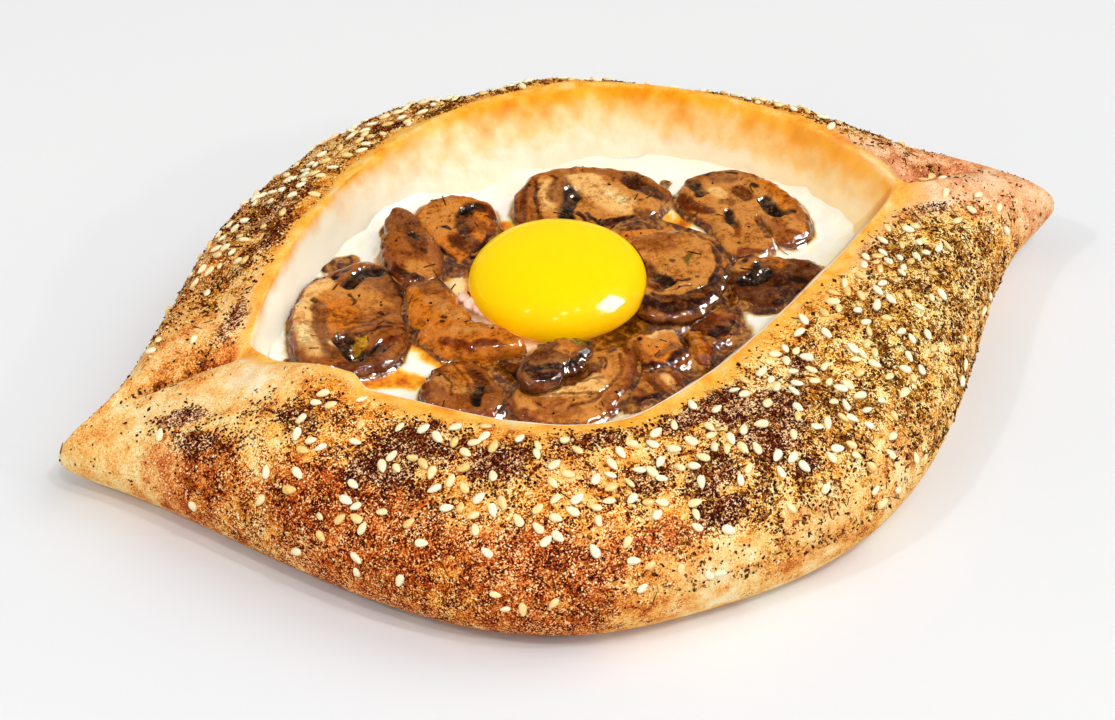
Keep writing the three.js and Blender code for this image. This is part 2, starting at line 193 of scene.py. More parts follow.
# Each side has its half-width, the place of its widest point, and for each end how full it is, how
# drawn out and how blunt.
BELLY = {"left": 124, "right": 123, "near": (83.5, -12, (2.6, 1.75, 8.8), (3.25, 2.45, 5.7)),
         "far": (82.5, -13, (3.1, 2.35, 1.5), (1.75, 1.5, 9.5))}
CREST = {"left": 79, "right": 79, "near": (58, -12, (1.8, 0.85, 2), (1.4, 1.05, 2)),
         "far": (60, 2, (2, 1, 2), (2.3, 0.7, 2))}
BRIM = {"left": 73, "right": 67, "near": (44, -12, (2, 0.8, 2), (1.5, 1, 2)),
        "far": (45, -2, (2.3, 1, 2.5), (3, 0.8, 2.5))}
FOOT = {"left": 108, "right": 90, "near": (77, -5, (2.3, 1.4, 6), (2.8, 1.8, 4)),
        "far": (69, 0, (2.2, 1.3, 6), (2.4, 1.3, 6))}
CREST_Z, BELLY_Z, HOLLOW_Z, CHEESE_Z, BRIM_Z = 36, 13, 13, 20.6, 22.6
print("widest level:", BELLY["left"] + BELLY["right"], "mm from tip to tip")


def leaf(turn, ring, inset=0.0):
    """Places of a ring in plan; a turn is the angle round the bread, in radians from the +X tip."""
    left, right = ring["left"] - inset, ring["right"] - inset
    x = (right - left) / 2 + (right + left) / 2 * np.cos(turn)
    end = np.minimum(1, np.abs(x) / np.where(x > 0, right, left))
    halves = []
    for side in ("near", "far"):
        width, widest, to_left, to_right = ring[side]
        rightward = x > widest
        share = np.abs(x - widest) / np.where(rightward, right - widest, left + widest)
        fullness = np.where(rightward, to_right[0], to_left[0])
        draw = np.where(rightward, to_right[1], to_left[1])
        blunt = to_left[2] + (to_right[2] - to_left[2]) * ease(-60, 60, x)
        taper = np.maximum(0, 1 - np.minimum(1, share) ** fullness) ** draw
        halves.append((width - inset) * taper + blunt * np.sqrt(np.maximum(0, 1 - end ** 16)))
    return x, np.where(np.sin(turn) < 0, -halves[0], halves[1])


def at_tip(turn):
    return np.abs(np.cos(turn)) ** 8


def belly_height(turn):
    return BELLY_Z + (np.where(np.cos(turn) > 0, 16, 8) - BELLY_Z) * at_tip(turn)


def crest_height(turn):
    dip = np.where(np.cos(turn) > 0, 2.5, 7)
    return CREST_Z + 1.5 * np.sin(turn) + 0.5 * np.sin(5 * turn + 1) - dip * np.abs(np.cos(turn)) ** 6


# %% The outer flank, the underside and the inner wall
def flank(turn, drop):
    """Places on the outside; the drop goes from 0 at the rim to 1 at the widest level."""
    (crest_x, crest_y), (belly_x, belly_y) = leaf(turn, CREST), leaf(turn, BELLY)
    round_fall = np.sqrt(np.maximum(0, 1 - drop ** (1.8 - 0.65 * np.sin(turn))))
    drawn_fall = (1 - 0.68 * drop) * np.sqrt(np.maximum(0, 1 - drop ** 14))
    rise = round_fall + (drawn_fall - round_fall) * at_tip(turn)
    low = belly_height(turn)
    return np.stack([crest_x + (belly_x - crest_x) * drop, crest_y + (belly_y - crest_y) * drop,
                     low + (crest_height(turn) - low) * rise], -1)


def underside(turn, tuck):
    """Places below the widest level; the tuck goes from 0 there to 1 at the foot."""
    (belly_x, belly_y), (foot_x, foot_y) = leaf(turn, BELLY), leaf(turn, FOOT)
    inward = 1 - math.cos(tuck * math.pi / 2)
    move = inward + (tuck - inward) * 0.6 * at_tip(turn)
    height = belly_height(turn) * (1 - math.sin(tuck * math.pi / 2))
    return np.stack([belly_x + (foot_x - belly_x) * move, belly_y + (foot_y - belly_y) * move, height], -1)


# A station of the wall: share of the way to the brim, inset inside it, height, and how far it
# follows the ups and downs of the crest.
WALL = np.array([(0, 0, CREST_Z, 1), (0.12, 0, 35.4, 1), (0.34, 0, 32.4, 0.9), (0.68, 0, 27.2, 0.5),
                 (1, 0, BRIM_Z, 0), (1, 5, 17, 0), (1, 12, HOLLOW_Z, 0)])


def wall(turn, station, extra=0.0):
    """Places on the inner wall, on a smooth curve through its stations 0 to 6."""
    first = min(5, int(station))
    t = station - first
    a, b, c, d = (WALL[min(6, max(0, first + k))] for k in (-1, 0, 1, 2))
    bend, twist = 2 * a - 5 * b + 4 * c - d, 3 * (b - c) + d - a
    share, inset, height, follow = b + 0.5 * t * (c - a + t * (bend + t * twist))
    (crest_x, crest_y), (brim_x, brim_y) = leaf(turn, CREST), leaf(turn, BRIM, inset + extra)
    return np.stack([crest_x + (brim_x - crest_x) * share, crest_y + (brim_y - crest_y) * share,
                     height + follow * (crest_height(turn) - CREST_Z)], -1)


print("the rim's height:", np.round(crest_height(np.array((0, math.pi / 2, math.pi, -math.pi / 2))), 1))

# %% [markdown]
# ## Uneven dough
# Real dough swells, blisters and creases. A Displace modifier with a cloud texture would do the same
# to every side. The slow swells and the seam where the ends were pinched together have to repeat the
# solid's own, so they are formulas; over them come hills of several sizes from a small noise that
# gives the same numbers on every machine.

# %% Swells and seams
def swell(points):
    """Slow hills of the risen dough, in millimetres."""
    x, y, z = points[..., 0], points[..., 1], points[..., 2]
    return (1.1 * np.sin(0.055 * x + 0.09 * y + 1.7) + 0.9 * np.sin(0.11 * x - 0.05 * y + 0.08 * z)
            + 0.5 * np.sin(0.21 * x + 0.15 * y))


def beside_seam(turn, drop):
    """Distance in turns from the seam at each end, and how deep it is along the flank."""
    rightward = np.cos(turn) > 0
    from_tip = np.where(rightward, np.arctan2(np.sin(turn), np.cos(turn)), math.pi - turn)
    start, lean = np.where(rightward, 0.08, -0.05), np.where(rightward, 0.3, 0.4)
    return from_tip - start - lean * drop, ease(0, 0.12, drop) * (1 - ease(0.5, 0.85, drop))


def seam_dip(turn, drop):
    """Depth of the seam, with a small bank beside it."""
    off, along = beside_seam(turn, drop)
    groove = np.exp(-(off / 0.12) ** 2) + 0.6 * np.exp(-(off / 0.035) ** 2)
    return 2.2 * along * (groove - 0.5 * np.exp(-((off + 0.28) / 0.16) ** 2))


def seam_line(turn, drop):
    """How dark the seam is, from 0 to about 1."""
    off, along = beside_seam(turn, drop)
    return along * (np.exp(-((off - 0.02) / 0.05) ** 2) + 0.5 * np.exp(-((off - 0.1) / 0.1) ** 2))


print("seam:", round(float(seam_dip(0.2, 0.3)), 1), "mm deep at the +X end")


# %% Hills and patches
def lumps(points, size, seed=0):
    """Smooth hills about one size across, from -1 to 1, at each point."""
    cell = np.asarray(points) / size
    base = np.floor(cell).astype(np.int64)
    part = cell - base
    part = part * part * (3 - 2 * part)
    total = np.zeros(cell.shape[:-1])
    for corner in itertools.product((0, 1), repeat=3):
        key = base + np.array(corner)
        mixed = key[..., 0] * 73856093 ^ key[..., 1] * 19349663 ^ key[..., 2] * 83492791
        mixed = mixed ^ (seed + 1) * 912931
        mixed = (mixed ^ (mixed >> 13)) * 1274126177
        value = ((mixed ^ (mixed >> 16)) & 0xFFFF) / 32767.5 - 1
        total += value * np.prod(np.where(np.array(corner) > 0, part, 1 - part), axis=-1)
    return total


def turn_gap(turn, other):
    """From one turn to another by the shorter way."""
    return (turn - other + math.pi) % (2 * math.pi) - math.pi


def spots(turn, drop, places):
    """Soft patches on the flank: each place is a turn, a drop, their half-widths and a strength."""
    total = np.zeros(np.broadcast(turn, drop).shape)
    for at_turn, at_drop, wide, tall, strength in places:
        near = np.exp(-(turn_gap(turn, at_turn) / wide) ** 2 - ((drop - at_drop) / tall) ** 2)
        total = np.maximum(total, strength * near)
    return total


# %% [markdown]
# ## Where the oven and the cook left their marks
# The flank isn't one colour. Burnt specks crowd into patches, dried herbs lie in drifts, the rim is
# bare and golden, and the two tips are pale. Weight painting could mark them with a brush; a list of
# soft spots does the same in numbers that can be read and changed. A spot has its turn and its drop,
# how far it reaches in both, and its strength.

# %% Lists of marks
CHAR_SPOTS = [
    (3.56, 0.62, 0.07, 0.13, 1.0), (3.68, 0.78, 0.07, 0.1, 0.9), (3.82, 0.42, 0.12, 0.14, 0.7),
    (4.04, 0.56, 0.09, 0.15, 1.0), (4.08, 0.34, 0.1, 0.18, 0.95), (4.24, 0.36, 0.09, 0.16, 0.95),
    (4.45, 0.14, 0.16, 0.08, 0.7), (4.8, 0.26, 0.08, 0.2, 1.0), (4.9, 0.42, 0.09, 0.18, 1.0),
    (4.7, 0.2, 0.09, 0.1, 1.0), (4.7, 0.6, 0.08, 0.15, 0.9), (4.56, 0.5, 0.09, 0.13, 0.65),
    (5.02, 0.3, 0.06, 0.1, 0.7), (4.88, 0.76, 0.06, 0.07, 0.7), (4.85, 0.55, 0.1, 0.18, 1.0),
    (4.7, 0.8, 0.07, 0.1, 0.9), (2.8, 0.16, 0.18, 0.12, 0.85), (2.27, 0.36, 0.08, 0.22, 1.0),
    (2.42, 0.2, 0.1, 0.12, 0.9), (1.85, 0.25, 0.2, 0.12, 0.6), (5.82, 0.35, 0.1, 0.18, 0.7)]
HERB_SPOTS = [
    (5.3, 0.6, 0.45, 0.45, 0.95), (5.6, 0.45, 0.22, 0.35, 0.9), (4.95, 0.8, 0.3, 0.25, 0.5),
    (0.5, 0.3, 0.25, 0.25, 0.7), (1.0, 0.25, 0.4, 0.25, 0.8), (1.6, 0.25, 0.4, 0.25, 0.85),
    (2.1, 0.35, 0.35, 0.3, 0.6), (2.5, 0.35, 0.25, 0.25, 0.35), (2.9, 0.35, 0.16, 0.3, 0.4)]
CREAM_SPOTS = [
    (3.25, 0.06, 0.16, 0.08, 0.9), (3.5, 0.2, 0.13, 0.12, 0.9), (3.45, 0.5, 0.08, 0.2, 0.5),
    (0.12, 0.12, 0.1, 0.1, 0.8), (4.4, 0.4, 0.1, 0.1, 0.4), (5.3, 0.3, 0.15, 0.15, 0.4),
    (4.66, 0.98, 0.14, 0.07, 0.8), (4.88, 0.96, 0.14, 0.1, 0.9), (5.08, 0.95, 0.12, 0.12, 0.7)]
RUDDY_SPOTS = [
    (2.85, 0.5, 0.2, 0.4, 0.3), (3.75, 0.9, 0.2, 0.2, 0.7), (4.05, 0.85, 0.22, 0.26, 1.0),
    (4.35, 0.88, 0.2, 0.22, 0.95), (4.58, 0.84, 0.12, 0.1, 0.7), (2.5, 0.5, 0.7, 0.7, 0.36),
    (1.3, 0.5, 0.8, 0.6, 0.36)]
PINK_SPOTS = [
    (5.5, 0.1, 0.12, 0.07, 0.9), (5.72, 0.1, 0.14, 0.08, 1.0), (5.95, 0.12, 0.14, 0.1, 1.0),
    (6.2, 0.25, 0.12, 0.2, 0.7)]
MILKY_SPOTS = [(2.7, 0, 0.75, 9, 1.0), (3.7, 0, 0.5, 9, 0.9)]
CORNER_SPOTS = [(6.12, 0, 0.34, 9, 1.0), (0.35, 0, 0.4, 9, 0.7)]
WAVY_WALL = [(2.9, 0, 0.7, 9, 1.0)]
print("patches:", sum(map(len, (CHAR_SPOTS, HERB_SPOTS, CREAM_SPOTS, RUDDY_SPOTS, PINK_SPOTS))))

# %% Marks for every place
BROAD_LIP_TURN = 5.9


def shares_of_marks(turn, drop):
    """Numbers from 0 to 1 for each point of the flank."""
    tip = np.maximum(ease(0.82, 0.95, np.cos(turn)), ease(0.78, 0.9, -np.cos(turn)))
    tip = np.maximum(tip, spots(turn, drop, PINK_SPOTS))
    cream = spots(turn, drop, CREAM_SPOTS)
    wide = 1 + 1.5 * np.exp(-(turn_gap(turn, BROAD_LIP_TURN) / 0.25) ** 2)
    wavy = drop + 0.03 * np.sin(9 * turn) + 0.02 * np.sin(23 * turn)
    bare = 1 - ease(0.02, 0.12, wavy / wide)
    char = spots(turn, drop, CHAR_SPOTS)
    herb = spots(turn, drop, HERB_SPOTS) * (1 - 0.9 * bare)
    ruddy = spots(turn, drop, RUDDY_SPOTS)
    speck = np.where(np.sin(turn) < 0, 0.55, 0.58) * (0.35 + 0.65 * ease(0.08, 0.24, drop))
    speck = speck * (1 - 0.75 * tip) * (1 - 0.6 * cream) * (1 - bare)
    speck = np.maximum(speck, char) * (1 - 0.8 * bare)
    left_tip = tip * (1 - 0.8 * ease(0, 0.5, np.cos(turn)))
    toast = 0.365 + 0.18 * ruddy - 0.02 * herb - 0.16 * cream - 0.15 * left_tip
    return {"char": char, "herb": herb, "speck": speck, "toast": toast, "bare": bare, "tip": tip,
            "cream": cream, "ruddy": ruddy}


# %% [markdown]
# ## The crust
# The crust is one piece of dough, thick at the rim and rolled in. Joining a flank, a rim and a wall
# would leave seams that show. A grid is a whole sheet of dough: its columns go round the bread and
# its rows run from the middle of the underside out, up the flank, over the rim and down the wall
# into the hollow. Moving its vertices onto the rings shapes the whole crust at once, and merging
# its two ends closes it.

# %% Rows of the crust
COLUMNS = 500
ROWS = ([("sole", s) for s in np.linspace(0, 0.9, 5)]
        + [("tuck", s) for s in np.linspace(1, 0, 13)[:-1]]
        + [("flank", s) for s in 1 - np.linspace(0, 1, 82)[:-1] ** 1.15]
        + [("wall", s) for s in np.linspace(0, 4.6, 44)]
        + [("wall", s) for s in (5, 5.5, 6)]
        + [("floor", s) for s in (0.6, 0.3, 0)])
TURN = np.linspace(0, 2 * math.pi, COLUMNS + 1)
TURN[-1] = 0.0


def row_points(zone, amount):
    """The places of one row of the grid."""
    if zone == "sole":
        return underside(TURN, 1) * (amount, amount, 1) + np.array((-30, 9, 0)) * (1 - amount)
    if zone == "tuck":
        return underside(TURN, amount)
    if zone == "flank":
        return flank(TURN, np.full_like(TURN, amount))
    if zone == "wall":
        return wall(TURN, amount)
    return wall(TURN, 6) * (amount, amount, 1)


shell = np.stack([row_points(zone, amount) for zone, amount in ROWS])
zone_of = np.array([zone for zone, _ in ROWS])
amount_of = np.array([amount for _, amount in ROWS])
drop_of = np.where(zone_of == "flank", amount_of, np.where(np.isin(zone_of, ("sole", "tuck")), 1.0, 0.0))
station_of = np.where(np.isin(zone_of, ("wall", "floor")), np.where(zone_of == "wall", amount_of, 6), 0.0)
print("crust grid:", shell.shape)


# %% Which way is outwards
def outward_of(grid):
    """The unit normal at each vertex of a grid that is closed along its rows."""
    loop = grid[:, :-1]
    around = np.roll(loop, -1, 1) - np.roll(loop, 1, 1)
    up = np.gradient(loop, axis=0)
    normal = np.cross(around, up)
    normal /= np.maximum(np.linalg.norm(normal, axis=-1, keepdims=True), 1e-9)
    return np.concatenate([normal, normal[:, :1]], 1)


# %% Swells and the raised lip
turn_grid, drop_grid = np.broadcast_to(TURN, shell.shape[:2]), drop_of[:, None] + 0 * TURN
station_grid = station_of[:, None] + 0 * TURN
on_flank = (zone_of == "flank")[:, None]
marks = shares_of_marks(turn_grid, drop_grid)
push = np.stack([0 * TURN * drop_grid, np.sign(shell[..., 1]) * drop_grid, 1 - 0.5 * drop_grid], -1)
push /= np.linalg.norm(push, axis=-1, keepdims=True)
bulge = swell(shell) * np.sin(math.pi * np.minimum(1, drop_grid * 1.05)) * (1 - 0.7 * at_tip(turn_grid))
shell = shell + np.where(on_flank, bulge, 0)[..., None] * push
shell[..., 2] -= np.where(on_flank, seam_dip(turn_grid, drop_grid), 0)
# the near lip stands a little higher, and at the left it ends in a small step
lip = 3.0 * ease(3.4, 3.74, TURN) * (1 - ease(3.79, 3.83, TURN))
lip = lip + 0.5 * ease(3.83, 4.0, TURN) * (1 - ease(5.0, 5.5, TURN))
lip = lip + 0.9 * np.exp(-((TURN - 4.66) / 0.2) ** 2)
lip = lip * (1 - ease(0, 0.34, drop_grid)) * (1 - ease(0.4, 1.4, station_grid))
lip = lip * (zone_of != "floor")[:, None]
shell[..., 2] += 0.85 * lip
shell[..., 1] += 0.5 * lip
normals = outward_of(shell)
print("lip:", round(lip.max(), 2), "mm high at most")

# %% Fine relief
flank_share = ease(0, 0.12, drop_grid) * (1 - ease(0.97, 1.0, drop_grid))
wall_share = ease(0.4, 1.2, station_grid) * (1 - ease(4.2, 4.8, station_grid))
crumbly = np.clip(marks["speck"] + 0.5 * marks["herb"], 0, 1)
fine = lumps(shell, 13, 1) * 0.45 + lumps(shell, 5, 2) * 0.2 + lumps(shell, 2.2, 3) * 0.14 * crumbly
fine = fine * flank_share
fine = fine + (lumps(shell, 11, 4) * 0.5 + lumps(shell, 4, 5) * 0.16) * wall_share
fine = fine + lumps(shell, 5.5, 6) * 0.6 * wall_share * spots(turn_grid, 0, WAVY_WALL)
shell = shell + normals * fine[..., None]
print("crust height:", round(shell[..., 2].max(), 2))

# %% Helpers that make, mark, close and finish a piece
def add_grid(name, grid):
    """A grid primitive whose vertices take the given places, in millimetres."""
    rows, columns = grid.shape[:2]
    bpy.ops.mesh.primitive_grid_add(x_subdivisions=columns - 1, y_subdivisions=rows - 1, size=2)
    piece = bpy.context.object
    piece.name = piece.data.name = name
    count = len(piece.data.vertices)
    flat = np.empty(count * 3)
    piece.data.vertices.foreach_get("co", flat)
    flat = flat.reshape(-1, 3)
    column = np.rint((flat[:, 0] + 1) / 2 * (columns - 1)).astype(int)
    row = np.rint((flat[:, 1] + 1) / 2 * (rows - 1)).astype(int)
    piece.data.vertices.foreach_set("co", (grid[row, column] * MM).ravel())
    return piece, row, column


def carry(piece, name, values):
    """Stores one number for each vertex under a name that a finish can read."""
    layer = piece.data.attributes.new(name, "FLOAT", "POINT")
    layer.data.foreach_set("value", np.asarray(values, np.float32))


def weld(distance=0.02):
    """Merges doubles of the piece just made and turns its faces outwards."""
    bpy.ops.object.mode_set(mode="EDIT")
    bpy.ops.mesh.select_all(action="SELECT")
    bpy.ops.mesh.remove_doubles(threshold=distance * MM)
    bpy.ops.mesh.normals_make_consistent(inside=False)
    bpy.ops.object.mode_set(mode="OBJECT")
    bpy.ops.object.shade_smooth()


def finish_piece(piece, slot, material, *nodes):
    """Gives a piece its material and body, and hides the solids that it takes the place of. The slot is not
    used.
    """
    piece.data.materials.clear()
    piece.data.materials.append(material)
    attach(piece, "root")
    if nodes:
        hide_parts(*nodes)
    print(piece.name, len(piece.data.polygons), "faces")
    bpy.ops.object.select_all(action="DESELECT")


# %% The crust and the numbers it carries
crust, row, column = add_grid("crust_dough", shell)
for name, values in marks.items():
    carry(crust, name, values[row, column])
carry(crust, "station", station_grid[row, column])
carry(crust, "milky", spots(turn_grid, 0, MILKY_SPOTS)[row, column])
carry(crust, "corner", spots(turn_grid, 0, CORNER_SPOTS)[row, column])
carry(crust, "crease", seam_line(turn_grid, drop_grid)[row, column])
carry(crust, "rosy", (0.25 + 0.75 * ease(-0.5, 0.8, np.cos(turn_grid)))[row, column])
carry(crust, "far", ease(-0.1, 0.5, np.sin(turn_grid))[row, column])
weld()

# %% [markdown]
# ## Baked dough
# A crust could be painted by hand on an image, but noise needs no picture and never repeats. Its
# colour is one scale of darkness, from pale flour through gold and brown to burnt, read off four
# colour ramps: golden, ruddy for the low flank, olive for the herbs and scorched for what is burnt.
# Slow noises and the marks set how dark a place is, and fine ones, a third of a millimetre across,
# scatter the grains round that. The bare rim and the wall have ramps of their own.

# %% The crust's marks and noises
def crust_inputs(f):
    """What the colours are worked out from: the numbers the mesh carries, and noises by size."""
    s = SimpleNamespace()
    for name in (*marks, "station", "milky", "far", "corner", "crease", "rosy"):
        setattr(s, name, f.read(name))
    s.slow, s.mid, s.clump, s.small = f.grain(16, 3), f.grain(4.5, 3), f.grain(3.2, 3, 0.6), f.grain(1.5, 3)
    s.grit, s.sand = f.grain(0.85, 3, 0.7), f.grain(0.36, 1)
    s.streak = f.grain(5, 3, 0.5, stretch=(1, 1, 0.4))
    return s


# %% How dark the dough is
def darkness(f, s):
    """How burnt, how freckled and how dark each place is, from 0 to 1."""
    burn = f.band(s.char + sway(s.mid, 1.2) + sway(s.clump, 0.5) + sway(s.grit, 0.9), 0.36, 0.78)
    dusty = f.band(s.speck + sway(s.clump, 1.5), 0.34, 0.74)
    freckled = 0.18 + dusty * 0.55 + s.herb * 0.24 + s.ruddy * 0.2 + burn * 0.4 - s.cream * 0.1
    grains = sway(s.sand, 3.3) + sway(s.grit, 2.7) + sway(s.clump, 1.1)
    patches = sway(s.slow, 0.6) + (s.mid - 0.5) * (0.7 + s.herb * 0.9)
    dark = s.toast + burn * 0.1 + s.crease * 0.22 + patches + grains * freckled
    return burn, freckled, dark.held()


# %% Colours of the dough
def dough_colour(f, s, burn, dark):
    """The colour of the flank, from its darkness and its marks."""
    golden = f.ramp(dark, (0.0, 255, 244, 196), (0.18, 255, 216, 126), (0.36, 248, 174, 68),
                    (0.5, 224, 120, 26), (0.62, 150, 56, 12), (0.78, 86, 16, 2), (1.0, 38, 2, 0))
    ruddy_brown = f.ramp(dark, (0.0, 255, 232, 178), (0.18, 248, 180, 102), (0.36, 226, 126, 52),
                         (0.5, 188, 80, 20), (0.64, 136, 46, 12), (0.8, 92, 20, 4), (1.0, 46, 4, 2))
    olive = f.ramp(dark, (0.0, 255, 246, 190), (0.18, 254, 216, 114), (0.36, 238, 176, 60),
                   (0.5, 204, 130, 26), (0.64, 132, 68, 6), (0.8, 74, 26, 0), (1.0, 38, 6, 2))
    scorched = f.ramp(dark, (0.0, 250, 208, 160), (0.14, 226, 158, 100), (0.32, 172, 92, 48),
                      (0.46, 116, 52, 30), (0.62, 70, 20, 12), (0.8, 44, 6, 8), (1.0, 28, 2, 6))
    dough = f.mix(s.herb, golden, olive)
    dough = f.mix(f.band(s.ruddy + sway(s.mid, 0.8), 0.25, 0.7), dough, ruddy_brown)
    dough = f.mix(burn * 0.9, dough, scorched)
    pepper = f.band(s.grit * 0.6 + s.sand * 0.4 + s.speck * 0.1, 0.665, 0.7)
    dough = f.mix(pepper * 0.85, dough, paint(88, 22, 10))
    return f.mix((s.far * 0.2).held(), dough, paint(232, 132, 30))


# %% The pale tips and the bare rim
def tips_and_rim(f, s, dough, dark):
    """The dough's colour with rosy tips and a golden rim."""
    rose = f.ramp(dark, (0.0, 255, 228, 204), (0.22, 248, 204, 162), (0.42, 234, 162, 112),
                  (0.62, 196, 110, 62), (0.85, 120, 50, 16))
    dough = f.mix((s.rosy * s.tip * 0.85 + s.cream * 0.4).held(), dough, rose)
    gold = f.ramp((s.slow * 0.5 + s.mid * 0.5 + sway(s.grit, 0.3)).held(), (0.34, 238, 126, 10),
                  (0.46, 250, 170, 46), (0.56, 255, 206, 100), (0.66, 255, 232, 160))
    return f.mix((s.bare * (0.95 - dark * 0.3)).held(), dough, gold)


# %% Colours of the inner wall: golden under the rim, cream below, near white at the left
def wall_colour(f, s, depth):
    shade = (s.slow * 0.5 + s.streak * 0.5).held()
    gold = f.ramp(shade, (0.38, 240, 140, 6), (0.47, 250, 162, 20), (0.56, 255, 180, 44),
                  (0.66, 255, 206, 92))
    cream = f.ramp(shade, (0.35, 252, 184, 90), (0.48, 252, 208, 132), (0.62, 254, 230, 180))
    cream = f.mix((s.milky * 0.9).held(), cream, paint(254, 252, 234))
    low = f.band(depth + sway(s.streak, 0.8) + sway(s.mid, 1.0) + s.milky * 0.4, 2.2, 3.0)
    cream = f.mix(low * 0.6, cream, paint(255, 247, 226))
    down = f.band(depth + sway(s.streak, 0.6) + sway(s.mid, 1.2) + s.milky * 0.9, 0.95, 2.5)
    corner = f.mix(f.band(depth + sway(s.mid, 1.6), 1.2, 3.2), paint(255, 172, 66), paint(255, 218, 146))
    return f.mix((s.corner * 0.9).held(), f.mix(down, gold, cream), corner)


# %% The crust's finish
def crust_finish():
    f = Finish("baked_dough", Specular_IOR_Level=0.03)
    s = crust_inputs(f)
    burn, freckled, dark = darkness(f, s)
    dough = tips_and_rim(f, s, dough_colour(f, s, burn, dark), dark)
    depth = s.station - s.far * 0.35
    inside = f.band(depth + sway(s.small, 0.8), 0.15, 0.8)
    colour = f.mix(inside, dough, wall_colour(f, s, depth))
    edge = s.station + sway(s.mid, 0.5) + sway(s.small, 0.3)
    film = f.band(edge, 0.16, 0.24) * (1 - f.band(edge, 0.7, 1.5)) * (1 - s.far) * (1 - s.corner)
    colour = f.mix(film * 0.85, colour, paint(255, 244, 222))
    relief = (s.grit * 0.5 + s.sand * 0.5) * freckled * (1 - inside)
    normal = f.bump(s.mid * 0.5 + s.slow, 0.6, f.bump(relief, 0.5))
    return f.wear(Base_Color=colour, Roughness=0.62 - inside * 0.2 - s.bare * 0.12, Normal=normal)


finish_piece(crust, "crust", crust_finish(), "crust")

# %% [markdown]
# ## Sesame seeds
# A seed is a flat drop about three millimetres long. A particle system or Geometry Nodes could strew
# them; here one seed is modelled from a small sphere and copied by its numbers, which gives one mesh
# that is the same at every run. Each copy gets its own turn, tilt and size, and a number for its
# shade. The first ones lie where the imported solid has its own.

# %% Random numbers that match the solid's
def draws(seed):
    """The solid's own row of random numbers, one after another."""
    state = seed
    while True:
        state = (state + 0x6D2B79F5) & 0xFFFFFFFF
        t = ((state ^ (state >> 15)) * (1 | state)) & 0xFFFFFFFF
        t = ((t + (((t ^ (t >> 7)) * (61 | t)) & 0xFFFFFFFF)) & 0xFFFFFFFF) ^ t
        yield ((t ^ (t >> 14)) & 0xFFFFFFFF) / 4294967296


def seed_density(turn, drop):
    """How likely the solid keeps a seed at a place."""
    along, near = math.cos(turn), math.sin(turn) < 0
    band = math.exp(-((drop - 0.42) / 0.26) ** 2) if near else math.exp(-((drop - 0.35) / 0.3) ** 2)
    tips = 1 - float(ease(0.72, 0.93, along)) * 0.9 - float(ease(0.62, 0.8, -along))
    return band * tips * (0.72 + 0.28 * math.sin(7 * turn + 4 * drop + 0.5))


FLANK_ROWS = np.flatnonzero(zone_of == "flank")


def spot_on_flank(turn, drop):
    """Place, outward normal and forward direction on the finished crust, in millimetres."""
    r = float(np.interp(-drop, -amount_of[FLANK_ROWS], FLANK_ROWS))
    c = turn % (2 * math.pi) / (2 * math.pi) * COLUMNS
    r0, c0 = min(int(r), len(shell) - 2), min(int(c), COLUMNS - 1)
    u, v = r - r0, c - c0
    place = ((1 - u) * ((1 - v) * shell[r0, c0] + v * shell[r0, c0 + 1])
             + u * ((1 - v) * shell[r0 + 1, c0] + v * shell[r0 + 1, c0 + 1]))
    return place, normals[r0, c0], shell[r0, c0 + 1] - shell[r0, c0]


def seed_places():
    """The solid's own seeds, drawn in the same order from the same numbers."""
    source, found = draws(11), []
    while len(found) < OWN_SEEDS:
        turn, drop = next(source) * 2 * math.pi, 0.1 + 0.85 * next(source)
        kept, spin, growth = next(source), next(source) * 2 * math.pi, next(source)
        if kept > seed_density(turn, drop):
            continue
        place, normal, forward = spot_on_flank(turn, drop)
        if all(np.linalg.norm(place - other[0]) >= SEED_LENGTH for other in found):
            found.append((place, normal, forward, spin, growth))
    return found


SEED_LENGTH, OWN_SEEDS, MORE_SEEDS = 3.3, 145, 330
own = seed_places()
print("seeds of the solid:", len(own))

# %% [markdown]
# The rest is scattered. Even chances would spread it like sand on a table, so a cell of the crust's
# grid is picked with a chance that goes with its area and with the marks there. A drift of herbs or a
# burnt patch then gets its crumbs by itself.

# %% Choose places by the marks
def crowd(count, seed, weight, apart=0.0, first=()):
    """Places on the flank with their normals and directions, denser where the weight is larger."""
    chooser = np.random.default_rng(seed)
    corner = shell[FLANK_ROWS[0]:FLANK_ROWS[-1] + 2]
    along, up = np.diff(corner[:-1], axis=1), np.diff(corner[:, :-1], axis=0)
    shares = {k: v[FLANK_ROWS][:, :-1] for k, v in marks.items()}
    shares["drop"], shares["turn"] = drop_grid[FLANK_ROWS][:, :-1], turn_grid[FLANK_ROWS][:, :-1]
    heaps = 0.5 + 0.7 * lumps(corner[:-1, :-1], 4, 12) + 0.4 * lumps(corner[:-1, :-1], 1.8, 13)
    shares["clump"] = np.maximum(0, heaps) ** 1.6
    chance = np.linalg.norm(np.cross(along, up), axis=-1) * weight(shares)
    picked = chooser.choice(chance.size, count * (4 if apart else 1), p=(chance / chance.sum()).ravel())
    r, c = np.divmod(picked, COLUMNS)
    u, v = chooser.random((2, len(picked), 1))
    places = corner[r, c] + u * up[r, c] + v * along[r, c]
    keep = np.arange(len(picked))
    if apart:
        settled, keep = list(first), []
        for k, place in enumerate(places):
            if len(keep) < count and np.min(np.linalg.norm(np.array(settled) - place, axis=1)) > apart:
                settled.append(place)
                keep.append(k)
    return places[keep], normals[FLANK_ROWS[0] + r, c][keep], along[r, c][keep], chooser


